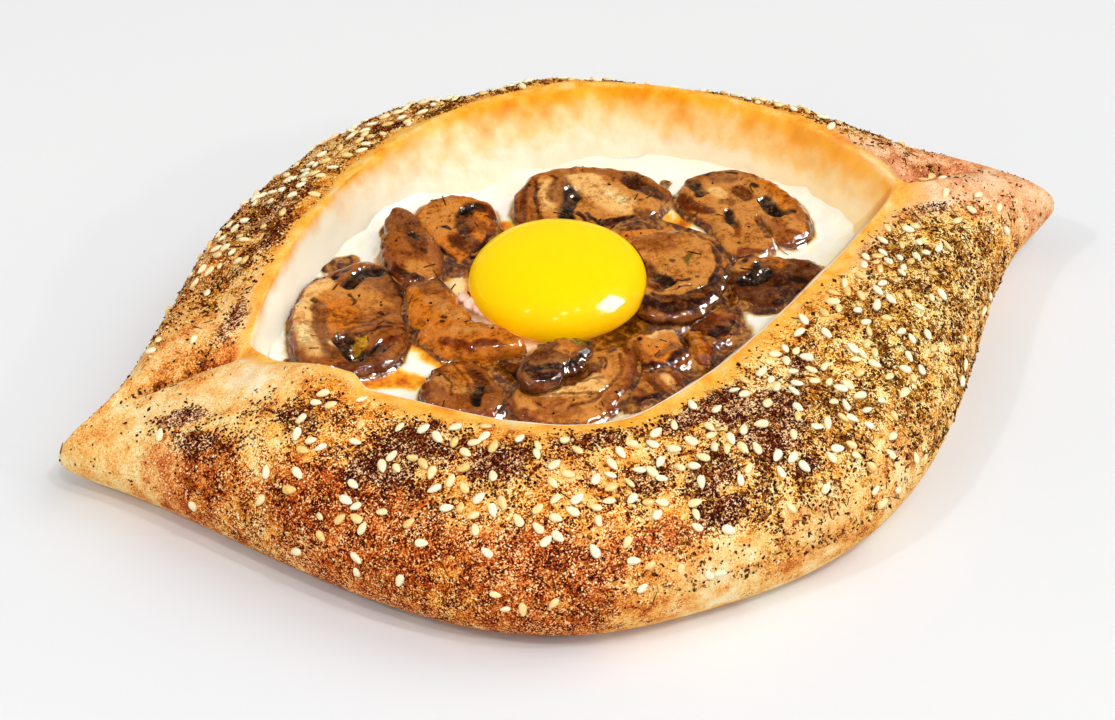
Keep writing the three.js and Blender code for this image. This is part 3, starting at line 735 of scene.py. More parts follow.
# %% Stand a shape on the surface
def turned(axis, angle):
    """Rotation matrices about one axis, one for each angle."""
    a, b = (axis + 1) % 3, (axis + 2) % 3
    made = np.zeros((len(angle), 3, 3))
    made[:, axis, axis] = 1
    made[:, a, a] = made[:, b, b] = np.cos(angle)
    made[:, a, b], made[:, b, a] = -np.sin(angle), np.sin(angle)
    return made


def stand(normal, forward, spin, tilt, roll, scale):
    """Matrices that lay a shape on the surface: its X along it and its Z outwards."""
    forward = forward - normal * np.sum(forward * normal, -1, keepdims=True)
    forward /= np.linalg.norm(forward, axis=-1, keepdims=True)
    lay = np.stack([forward, np.cross(normal, forward), normal], -1)
    return lay @ turned(2, spin) @ turned(1, tilt) @ turned(0, roll) * np.asarray(scale)[:, None, :]


# %% Join all the copies
def scatter(name, shape, places, frames, slot, material, tones):
    """Joins a copy of the shape for every place into one mesh; a tone is the shade of one copy."""
    vertices = np.array([v.co for v in shape.data.vertices])
    faces = [tuple(p.vertices) for p in shape.data.polygons]
    stacked = (np.einsum("nij,vj->nvi", frames, vertices) + places[:, None]).reshape(-1, 3)
    joined = [tuple(i + k * len(vertices) for i in face) for k in range(len(places)) for face in faces]
    bpy.data.objects.remove(shape)
    mesh = bpy.data.meshes.new(name)
    mesh.from_pydata((stacked * MM).tolist(), [], joined)
    piece = bpy.data.objects.new(name, mesh)
    bpy.context.scene.collection.objects.link(piece)
    carry(piece, "tone", np.repeat(tones, len(vertices)))
    bpy.context.view_layer.objects.active = piece
    piece.select_set(True)
    bpy.ops.object.shade_smooth()
    finish_piece(piece, slot, material)


# %% Sesame seeds
def add_seed():
    bpy.ops.mesh.primitive_uv_sphere_add(segments=8, ring_count=6, radius=1, rotation=(0, math.pi / 2, 0))
    bpy.ops.object.transform_apply()
    piece = bpy.context.object
    for vertex in piece.data.vertices:
        x, y, z = vertex.co
        narrow = 1 - 0.24 * x - 0.06 * x * x
        vertex.co = (x * 0.46, y * 0.28 * narrow, z * 0.16 * (1 - 0.2 * x))
    return piece


def seed_finish():
    f = Finish("sesame_seed", Roughness=0.4, Specular_IOR_Level=0.15)
    shade = f.ramp((f.read("tone") * 0.85 + sway(f.grain(0.9, 2), 0.5)).held(), (0.0, 255, 248, 214),
                   (0.5, 255, 236, 176), (0.85, 248, 204, 118), (1.0, 206, 140, 60))
    return f.wear(Base_Color=shade, Normal=f.bump(f.grain(0.5, 2), 0.08))


def seed_weight(shares):
    drop, turn = shares["drop"], shares["turn"]
    band = ease(0.06, 0.2, drop) * (1 - 0.75 * ease(0.62, 0.95, drop))
    tips = 1 - 0.94 * ease(0.78, 0.93, np.cos(turn)) - 0.97 * ease(0.7, 0.86, -np.cos(turn))
    return band * tips * (0.8 + 0.2 * np.sin(7 * turn + 4 * drop + 0.5)) * (1 - 0.5 * shares["char"])


own_places, own_normals, own_forwards, own_spins, own_growths = (np.array(column) for column in zip(*own))
places, normal, forward, chooser = crowd(MORE_SEEDS, 31, seed_weight, 2.3, own_places)
more = len(places)
places, normal = np.concatenate([own_places, places]), np.concatenate([own_normals, normal])
forward = np.concatenate([own_forwards, forward])
count = len(places)
spin = np.concatenate([own_spins, chooser.uniform(0, 6.28, more)])
size = SEED_LENGTH * np.concatenate([0.9 + 0.2 * own_growths, chooser.uniform(0.85, 1.1, more)])
frames = stand(normal, forward, spin, chooser.normal(0, 0.16, count), chooser.normal(0, 0.2, count),
               size[:, None] * np.ones(3))
scatter("sesame_seeds", add_seed(), places + normal * 0.4, frames, "crust", seed_finish(),
        chooser.random(count) ** 1.4)

# %% [markdown]
# ## Herb flakes, stalks and crumbs
# Up close the dark specks are real: torn dried leaves, bits of stalk and burnt crumbs, from a fifth
# of a millimetre to three long. Painted specks would look flat at the outline, so these are meshes.
# A shape that is copied thousands of times has only a few faces.

# %% Small shapes
def add_flake():
    bpy.ops.mesh.primitive_cylinder_add(vertices=4, radius=0.5, depth=0.14)
    piece = bpy.context.object
    for k, vertex in enumerate(piece.data.vertices):
        vertex.co.x *= 1 + 0.35 * math.sin(2.4 * k)
        vertex.co.y *= 0.7 + 0.25 * math.cos(1.7 * k)
        vertex.co.z += 0.16 * vertex.co.x
    return piece


def add_crumb():
    """A small sphere whose two rings are merged into one, which leaves eight faces."""
    bpy.ops.mesh.primitive_uv_sphere_add(segments=4, ring_count=3, radius=0.56)
    piece = bpy.context.object
    for vertex in piece.data.vertices:
        vertex.co.z *= abs(vertex.co.z) > 0.5
    weld(20)        # small shapes are modelled a thousand times too large, so this is 0.02 mm
    for k, vertex in enumerate(piece.data.vertices):
        vertex.co *= 1 + 0.28 * math.sin(3.1 * k + 1)
    return piece


def add_stalk():
    bpy.ops.mesh.primitive_cylinder_add(vertices=4, radius=0.055, depth=1, rotation=(0, math.pi / 2, 0))
    bpy.ops.object.transform_apply()
    return bpy.context.object


def crumb_finish(name, *stops):
    f = Finish(name, Roughness=0.6, Specular_IOR_Level=0.03)
    shade = f.ramp((f.read("tone") + sway(f.grain(0.7, 2), 0.3)).held(), *stops)
    return f.wear(Base_Color=shade, Normal=f.bump(f.grain(0.3, 2), 0.1))


# %% Scatter one kind
def strew(name, shape, count, seed, sizes, flat, steep, finish, weight, lift=0.1):
    """Strews a shape by a weight. Flat is its height, steep how far it may tip, lift how high it lies."""
    places, normal, forward, chooser = crowd(count, seed, weight)
    size = sizes[0] + (sizes[1] - sizes[0]) * chooser.random(count) ** 2.2
    lengths, widths = chooser.uniform(0.8, 1.3, count), chooser.uniform(0.7, 1.1, count)
    scale = size[:, None] * np.stack([lengths, widths, np.full(count, flat)], -1)
    frames = stand(normal, forward, chooser.uniform(0, 6.28, count), chooser.normal(0, steep, count),
                   chooser.normal(0, steep, count), scale)
    raised = places + normal * (lift * size)[:, None]
    scatter(name, shape, raised, frames, "crust", finish, chooser.random(count))


# %% Crumbs
few = 1.0
BURNT, PALE, FLAKES, STALKS = (int(count * few) for count in (24000, 12000, 13000, 1100))
burnt = crumb_finish("burnt_crumb", (0.0, 40, 2, 2), (0.5, 84, 18, 4), (0.85, 134, 46, 10),
                     (1.0, 206, 118, 40))
herb = crumb_finish("dried_herb", (0.0, 52, 16, 0), (0.35, 102, 46, 0), (0.7, 156, 90, 6),
                    (1.0, 228, 164, 60))
bread = crumb_finish("pale_crumb", (0.0, 255, 246, 204), (0.6, 255, 224, 150), (1.0, 240, 160, 70))
strew("burnt_crumbs", add_crumb(), BURNT, 21, (0.16, 0.9), 0.8, 0.35, burnt,
      lambda s: (0.2 * s["speck"] + s["char"] - 0.01 * s["tip"]).clip(0) * s["clump"] * (1 - s["bare"]))
strew("pale_crumbs", add_crumb(), PALE, 24, (0.2, 0.75), 0.8, 0.35, bread,
      lambda s: (0.1 + s["speck"]) * (1 - s["bare"]))

# %% Herbs
strew("herb_flakes", add_flake(), FLAKES, 22, (0.3, 1.3), 1.0, 0.5, herb,
      lambda s: (0.1 * s["speck"] + s["herb"]) * s["clump"] * (1 - s["bare"]))
strew("herb_stalks", add_stalk(), STALKS, 23, (1.0, 3.2), 1.0, 0.15, herb,
      lambda s: (0.3 * s["speck"] + 0.8 * s["herb"]) * (1 - s["bare"]), lift=0.05)

# %% [markdown]
# ## Where the slices lie
# The cheese rises a little against whatever lies in it, takes up its oil and is painted darker round
# each slice as contact shade, so the outlines of the mushroom slices come first. An outline is a ring
# of points in plan, in millimetres; seen from its middle it becomes a distance for every direction.

# %% Outlines of the slices
# Name, middle and its height, tilt about X and Y in degrees, share of the usual thickness, how far
# its middle is dished, and the outline.
PIECES = [
    ("mushroom_near_top", (-17, -28.8, 28.6), (14, 0), 1, 1,
     [(-27, -29.6), (-22, -25.6), (-17, -23.6), (-11, -25), (-8.3, -27.6), (-11, -30.6), (-17, -33),
     (-22, -35.8), (-27, -35), (-28, -32)]),
    ("mushroom_disc", (19, -7, 27), (7, -4), 1, 0.4,
     [(12.5, 5.5), (18.5, 6.3), (25.5, 5.4), (29.5, 1.4), (31.4, -3.7), (29.7, -9.8), (28, -15.6),
     (23.8, -20), (16.8, -22.4), (9.6, -20), (6.6, -15), (5.8, -8), (8, -1)]),
    ("mushroom_stem_far_left", (-34.6, 24, 25.6), (16, 6), 1, 0.3,
     [(-34.6, 37.4), (-31, 36), (-30, 31.5), (-28.6, 28), (-27.4, 22), (-28.6, 16.6), (-31.6, 13),
     (-35.8, 12.6), (-39.4, 15.6), (-41, 21), (-41, 26), (-39, 30), (-37.8, 34)]),
    ("mushroom_crescent", (-35.4, -6, 24.2), (2, -14), 1.4, 0,
     [(-38, 13), (-41, 6), (-41.6, -2), (-40.4, -9), (-36.4, -15), (-31, -18.6), (-25, -20.6), (-19, -21),
     (-19.6, -18.4), (-24, -15.6), (-28, -11.4), (-29.8, -6), (-30.2, 0), (-30, 6), (-31, 11), (-34, 14)]),
    ("mushroom_near", (-15.4, -35.5, 23.6), (5, 0), 1, 0.8,
     [(-31.5, -35), (-28.5, -31), (-20, -28), (-5, -26.5), (-0.6, -24.6), (0.6, -30), (-1.6, -35.4),
     (-6.6, -40.4), (-11.6, -44.6), (-17, -46.4), (-25, -43.6), (-30, -39.6)]),
    ("mushroom_left", (-54, 7, 23.6), (2, 4), 1, 0.6,
     [(-48, 25), (-54, 23), (-58, 21.4), (-62, 19.5), (-65, 14.5), (-67.6, 9), (-69.4, 3), (-70, -3),
     (-68.4, -8), (-66.6, -10.6), (-60, -13), (-50, -12.6), (-47, -9.4), (-44.6, -5.4), (-42.4, 0),
     (-40.6, 6), (-39.6, 14), (-40, 20), (-43, 23.6)]),
    ("mushroom_far", (14.5, 30, 23.6), (8, 0), 1, 0.5,
     [(-6, 30), (-5, 35), (-2.4, 39), (1, 42), (6, 43), (12, 42.6), (18, 41), (24, 38.4), (28.6, 34.4),
     (31.6, 29), (33, 25.6), (29, 22.4), (25.6, 19.4), (23, 16.4), (15, 18), (8, 16), (0, 18), (-5, 24)]),
    ("mushroom_far_right", (46, 14, 23.5), (4, -3), 1, 0.6,
     [(34, 14.6), (32.4, 18), (31.8, 22), (34, 26.4), (38, 29.2), (45, 29.6), (50, 28.4), (54.4, 24.4),
     (57.4, 17.4), (59.6, 9), (59, 4), (56.6, -0.6), (52, -2.6), (48.6, -1), (47.4, 2), (46.4, -2.8),
     (40, -3.6), (35.6, -1.6), (35, 5), (36, 11)]),
    ("mushroom_far_left", (-20, 30, 23.3), (6, 0), 1, 0.5,
     [(-30, 37.6), (-26, 41.2), (-20, 43), (-15, 41.6), (-11.6, 38.6), (-10, 36.5), (-10.4, 33),
     (-11.4, 28), (-14.4, 22), (-19.4, 16.4), (-26, 14), (-30, 19), (-31, 30)]),
    ("mushroom_right", (42, -13, 23.4), (3, 0), 1, 0.6,
     [(33, -7), (36, -3.6), (41, -4.6), (47, -7.4), (51.6, -8.6), (54, -12.6), (53.6, -16.6), (48, -21),
     (40, -24), (34, -23), (30.4, -18), (31, -12)]),
    ("mushroom_near_left", (-38.5, -26, 23.6), (-2, 8), 1, 0.5,
     [(-37, -15.6), (-44, -19.6), (-47.6, -25), (-48.4, -30), (-45.6, -33.6), (-40, -36.4), (-33, -36),
     (-29, -31), (-28, -26), (-30, -21), (-33, -17.4)]),
    ("mushroom_stem_near", (6, -29, 24.6), (8, 0), 1, 0.3,
     [(-0.4, -25), (6, -24), (12.4, -24.6), (13, -29), (12, -34), (6, -35.4), (0.4, -34.6), (-0.8, -30)]),
    ("mushroom_sliver_near", (15.4, -29.8, 23.8), (0, 6), 1, 0.2,
     [(12.6, -25.4), (16.4, -24.6), (18.4, -28), (18, -33), (15.6, -36.4), (12.8, -35), (12, -30)]),
    ("mushroom_under_disc", (22, 8, 22.8), (0, 0), 0.7, 0.2,
     [(13, 17), (14.6, 19.4), (20.6, 20.2), (26.8, 17.4), (30.4, 12.6), (34.6, 8), (35, 0), (34, -7),
     (30, -9), (20, 0), (13, 4), (11.6, 10)]),
    ("mushroom_wedge_near", (23, -24, 23.2), (4, 4), 1, 0.3,
     [(18, -21), (22, -19.4), (27, -19.8), (28.6, -23), (26, -27.6), (21.6, -30.6), (17.6, -28.6),
     (17, -24)]),
    ("mushroom_stem_near_left", (-27, -26, 22.8), (0, 0), 0.8, 0.2,
     [(-23, -21), (-27, -18.6), (-31, -21), (-33, -27), (-33.6, -34), (-29, -37.4), (-25, -34),
     (-22.4, -28)]),
    ("mushroom_chip_near", (0, -39.8, 23.2), (6, 0), 1, 0.2,
     [(-6.4, -36.4), (0, -34.6), (7, -35), (8.6, -39), (5, -43), (-1, -45), (-7, -44.6), (-8.4, -40.6)]),
    ("garlic_bit", (-28, 9.5, 24), (0, 0), 0.9, 0,
     [(-31.2, 9), (-29.4, 12.2), (-26.4, 12.4), (-24.8, 9.8), (-26.2, 7), (-29.6, 6.8)]),
]
SLICE_THICKNESS = 4.6
print(len(PIECES), "pieces lie in the cheese")

# %% Inside or outside an outline
def radius_at(piece, angle):
    """Distance from the piece's middle to its outline in each direction."""
    outline = np.array(piece[5]) - piece[1][:2]
    round_about = np.arctan2(outline[:, 1], outline[:, 0])
    order = np.argsort(round_about)
    dense = np.linspace(-math.pi, math.pi, 181)
    reach = np.interp(dense, round_about[order], np.hypot(*outline.T)[order], period=2 * math.pi)
    soft = (np.roll(reach[:-1], 3) + 2 * reach[:-1] + np.roll(reach[:-1], -3)) / 4
    return np.interp(angle, dense[:-1], soft, period=2 * math.pi)


def outside_of(piece, x, y):
    """How far each place of the plan lies outside the outline; inside it is negative."""
    dx, dy = x - piece[1][0], y - piece[1][1]
    return np.hypot(dx, dy) - radius_at(piece, np.arctan2(dy, dx))


# %% [markdown]
# ## Melted cheese
# The cheese is a soft cushion that fills the hollow and creeps up the wall. A fluid simulation could
# pour it, but rings do it with the wall's own numbers: its top is a grid of rings that shrink to the
# middle and rise against every slice, and its underside follows the solid's.

# %% Shape of the cheese
CLEARANCE = 0.4


def cheese_swell(x, y):
    return 0.4 * np.sin(0.13 * x + 0.4) * np.sin(0.16 * y + 1.1) + 0.2 * np.sin(0.31 * x - 0.22 * y)


def away_from(x, y, start, end):
    """Distance of each point from a straight line between two points."""
    (x0, y0), (x1, y1) = start, end
    dx, dy = x1 - x0, y1 - y0
    along = np.clip(((x - x0) * dx + (y - y0) * dy) / max(dx * dx + dy * dy, 1e-9), 0, 1)
    return np.hypot(x - x0 - along * dx, y - y0 - along * dy)


def strokes(x, y, lines):
    """How near each point is to drawn lines: 1 on a line and 0 beyond its width."""
    total = np.zeros(np.shape(x))
    for x0, y0, x1, y1, width in lines:
        total = np.maximum(total, 1 - ease(0.35 * width, 1.25 * width, away_from(x, y, (x0, y0), (x1, y1))))
    return total


OILY = [
    (-55, 26, -47, 29, 2), (-37, 36, -34, 39, 1.6), (-71, -2, -69, -10, 1.6), (-24, -24, 22, -26, 9),
    (-27, -37, 20, -38, 9), (-28, -24, -28, -38, 4), (-2, -17, 20, -16, 4), (12, -12, 26, -20, 6),
    (-18, 12, -17, 9, 1.5), (26, -3, 34, -2, 3), (-44, 6, -42, -6, 1.5), (-26, 16, -22, 20, 2),
    (31, 30, 34, 34, 1.6), (10, 17, 13, 20, 3), (36, 1, 44, -5, 2.4), (28, -12, 32, -18, 2.5)]
print(len(OILY), "streaks of oil")

# %% Rings of the cheese
CHEESE_TOP, CHEESE_COLUMNS, CHEESE_RINGS = 22.2, 400, 150
CHEESE_TURN = np.linspace(0, 2 * math.pi, CHEESE_COLUMNS + 1)
CHEESE_TURN[-1] = 0
rim_ring = wall(CHEESE_TURN, 3.3, -0.9)
under_rings = [wall(CHEESE_TURN, station, CLEARANCE) + (0, 0, lift)
               for station, lift in ((6, 0.4), (5.5, 0.2), (5, 0), (4.4, 0))]
edge_rise = rim_ring[:, 2] - CHEESE_TOP + 0.8 * lumps(rim_ring, 7, 5)
top_rings = []
RING_SHARES = 1 - np.linspace(0, 1, CHEESE_RINGS) ** 1.1
for share in RING_SHARES:
    ring = rim_ring * (share, share, 0)
    x, y = ring[:, 0], ring[:, 1]
    rise = edge_rise * np.exp(-((1 - share) / 0.06)) + 0.35 * lumps(ring, 9, 7) + 0.2 * lumps(ring, 3.5, 8)
    for piece in PIECES:
        out = outside_of(piece, x, y)
        rise = np.maximum(rise, 1.9 * np.exp(-np.maximum(0, out + 0.2) / 1.05) + 0.3 * rise)
    rise = rise + 0.2 * lumps(ring, 2.4, 9) * np.maximum(strokes(x, y, OILY), 0.3)
    ring[:, 2] = CHEESE_TOP + cheese_swell(x, y) * 0.8 + rise
    top_rings.append(ring)
cheese_grid = np.stack([under_rings[0] * (0, 0, 1), *under_rings, *top_rings])
print("cheese grid:", cheese_grid.shape)

# %% The cheese and the numbers it carries
cheese, row, column = add_grid("melted_cheese", cheese_grid)
beside_wall = np.concatenate([np.zeros(len(under_rings) + 1), np.exp(-(1 - RING_SHARES) / 0.09)])
to_the_right = 0.25 + 0.75 * ease(-0.6, 0.3, np.cos(CHEESE_TURN))
carry(cheese, "edge", (beside_wall[:, None] * to_the_right)[row, column])
x, y = cheese_grid[row, column, 0], cheese_grid[row, column, 1]
BROWNED = [
    (-44, -4, -40, -9, 4.4), (-41, -9, -38, -13, 3.6), (-57, -13, -51, -15, 4.6), (-52, -13, -47, -18, 3.8),
    (26, 20, 31, 17, 3.8), (-9, 30, -8, 27, 3), (-30, 14, -27, 15, 2)]
carry(cheese, "browned", strokes(x, y, BROWNED))
# Round every slice the cheese is darkened: partly the oil the slice gives off, partly painted contact shade
oil_and_contact_shade = np.zeros(len(x))
for piece in PIECES:
    oil_and_contact_shade = np.maximum(oil_and_contact_shade, np.exp(-np.maximum(0, outside_of(piece, x, y) - 0.3) / 0.9))
carry(cheese, "oily", np.maximum(strokes(x, y, OILY), 0.95 * oil_and_contact_shade))
weld()


# %% The cheese's finish
def cheese_finish():
    f = Finish("melted_cheese", Specular_IOR_Level=0.15, Coat_Roughness=0.08, Coat_IOR=1.6,
               Subsurface_Weight=0.3, Subsurface_Radius=(0.006, 0.004, 0.002))
    browned, oily = f.read("browned"), f.read("oily")
    slow, mid, fine = f.grain(18, 3), f.grain(5, 3), f.grain(1.3, 3)
    milk = f.ramp((slow * 0.6 + mid * 0.4).held(), (0.35, 255, 242, 208), (0.5, 255, 250, 236),
                  (0.65, 255, 253, 246))
    milk = f.mix((f.read("edge") * (0.4 + mid * 0.8)).held(), milk, paint(255, 236, 196))
    milk = f.mix(f.band(oily + sway(mid, 0.7), 0.18, 0.4) * 0.7, milk, paint(214, 172, 60))
    toast = (browned * (0.66 + sway(mid, 1.4) + sway(fine, 0.5))).held()
    bubbles = f.ramp(toast, (0.25, 255, 222, 120), (0.5, 255, 176, 30), (0.75, 220, 110, 6),
                     (0.95, 150, 56, 2))
    colour = f.mix(f.band(toast, 0.05, 0.45), milk, bubbles)
    # the dark-brown sauce: oil streaks, and round each slice oil with painted contact shade
    sauce_and_shade = f.band(oily + sway(mid, 0.8), 0.3, 0.62)
    brown = f.ramp(fine * 0.5 + mid * 0.5, (0.4, 62, 26, 4), (0.5, 124, 66, 12), (0.6, 190, 126, 44))
    colour = f.mix(sauce_and_shade, colour, brown)
    return f.wear(Base_Color=colour, Roughness=0.42 - sauce_and_shade * 0.25, Coat_Weight=0.25 + sauce_and_shade * 0.75,
                  Normal=f.bump(mid * 0.6 + fine * (0.2 + sauce_and_shade * 0.3), 0.8))


finish_piece(cheese, "cheese", cheese_finish(), "cheese")

# %% [markdown]
# ## The yolk
# A raw yolk is a tight skin round a liquid: a ball that its own weight flattens, widest just above
# its foot. A soft-body simulation would settle it, but the outline is a simple one, so a UV sphere
# is pulled to it ring by ring.

# %% The outline of the yolk
YOLK = {"x": -6.5, "y": 0.3, "bottom": CHEESE_Z + 0.9, "radius": 20.5, "height": 14.4}
BELOW, ABOVE = 0.34, 0.66               # shares of its height below and above the widest level
BELOW_ROUND, ABOVE_ROUND = 0.55, 0.8    # how round it is there; 1 is an ellipse, less is fuller


def yolk_radius(height, margin=0.0):
    """Half-width of the yolk at a height over the table."""
    level = YOLK["bottom"] + BELOW * YOLK["height"]
    low, high = BELOW * YOLK["height"] + margin, ABOVE * YOLK["height"] + margin
    rise = np.where(height < level, (height - level) / low, (height - level) / high)
    cosine = np.sqrt(np.maximum(0, 1 - np.clip(rise, -1, 1) ** 2))
    return (YOLK["radius"] + margin) * cosine ** np.where(height < level, BELOW_ROUND, ABOVE_ROUND)


print("yolk:", 2 * YOLK["radius"], "mm across and", YOLK["height"], "mm high")

# %% Pull a sphere to it
bpy.ops.mesh.primitive_uv_sphere_add(segments=128, ring_count=96, radius=1)
yolk = bpy.context.object
yolk.name = yolk.data.name = "egg_yolk"
level = YOLK["bottom"] + BELOW * YOLK["height"]
for vertex in yolk.data.vertices:
    ux, uy, uz = vertex.co
    flat = math.hypot(ux, uy)
    z = level + uz * (BELOW if uz < 0 else ABOVE) * YOLK["height"]
    radius = YOLK["radius"] * flat ** (BELOW_ROUND if uz < 0 else ABOVE_ROUND)
    angle = math.atan2(uy, ux)
    radius *= 1 + 0.006 * math.sin(3 * angle + 1) + 0.004 * math.sin(5 * angle)
    x, y = YOLK["x"] + radius * math.cos(angle), YOLK["y"] + radius * math.sin(angle)
    vertex.co = (x * MM, y * MM, z * MM)
bpy.ops.object.shade_smooth()


# %% The yolk's finish: a coat for the wet skin, and a little light of its own for the clear yellow
def yolk_finish():
    f = Finish("raw_yolk", Roughness=0.3, Specular_IOR_Level=0.02, Coat_Weight=0.3, Coat_Roughness=0.04,
               Emission_Strength=0.2, Subsurface_Weight=0.6, Subsurface_Radius=(0.012, 0.007, 0.0005))
    slow = f.grain(22, 2)
    height = f.node("ShaderNodeSeparateXYZ", inputs={0: f.place}, output=2)
    # the yolk is painted a deeper orange towards the bottom
    deep = f.band(height + (slow - 0.5) * 0.004, 0.032, 0.0235)
    colour = f.mix(deep, paint(255, 208, 0), paint(255, 180, 0))
    return f.wear(Base_Color=colour, Emission_Color=colour, Normal=f.bump(slow, 0.3))


finish_piece(yolk, "yolk", yolk_finish(), "yolk")

# %% [markdown]
# Beside the yolk a little of the white has set in beads. Metaballs would melt them together, but five
# small flattened balls that touch look the same.

# %% Bits of cooked egg white
def add_bead():
    bpy.ops.mesh.primitive_uv_sphere_add(segments=24, ring_count=16, radius=1)
    return bpy.context.object


def egg_white_finish():
    f = Finish("cooked_egg_white", Roughness=0.3, Specular_IOR_Level=0.3, Coat_Weight=0.4,
               Coat_Roughness=0.1)
    return f.wear(Base_Color=f.ramp(f.grain(1.5, 3), (0.35, 232, 186, 160), (0.6, 255, 232, 214)))


# the middle of each bead and its radius
beads = np.array([(-28.4, 3.6, 25.4, 1.5), (-27.4, 1.2, 25.2, 1.9), (-26.2, -0.8, 25, 1.6),
                  (-25.6, -2.6, 24.8, 1.1), (-27.9, 5, 25.2, 0.9)])
count = len(beads)
bead_frames = stand(np.tile((0.0, 0, 1), (count, 1)), np.tile((1.0, 0, 0), (count, 1)),
                    np.arange(float(count)), np.zeros(count), np.zeros(count), beads[:, 3:] * (1.1, 0.9, 0.7))
scatter("egg_white_bits", add_bead(), beads[:, :3], bead_frames, "cheese", egg_white_finish(),
        np.linspace(0, 1, count))
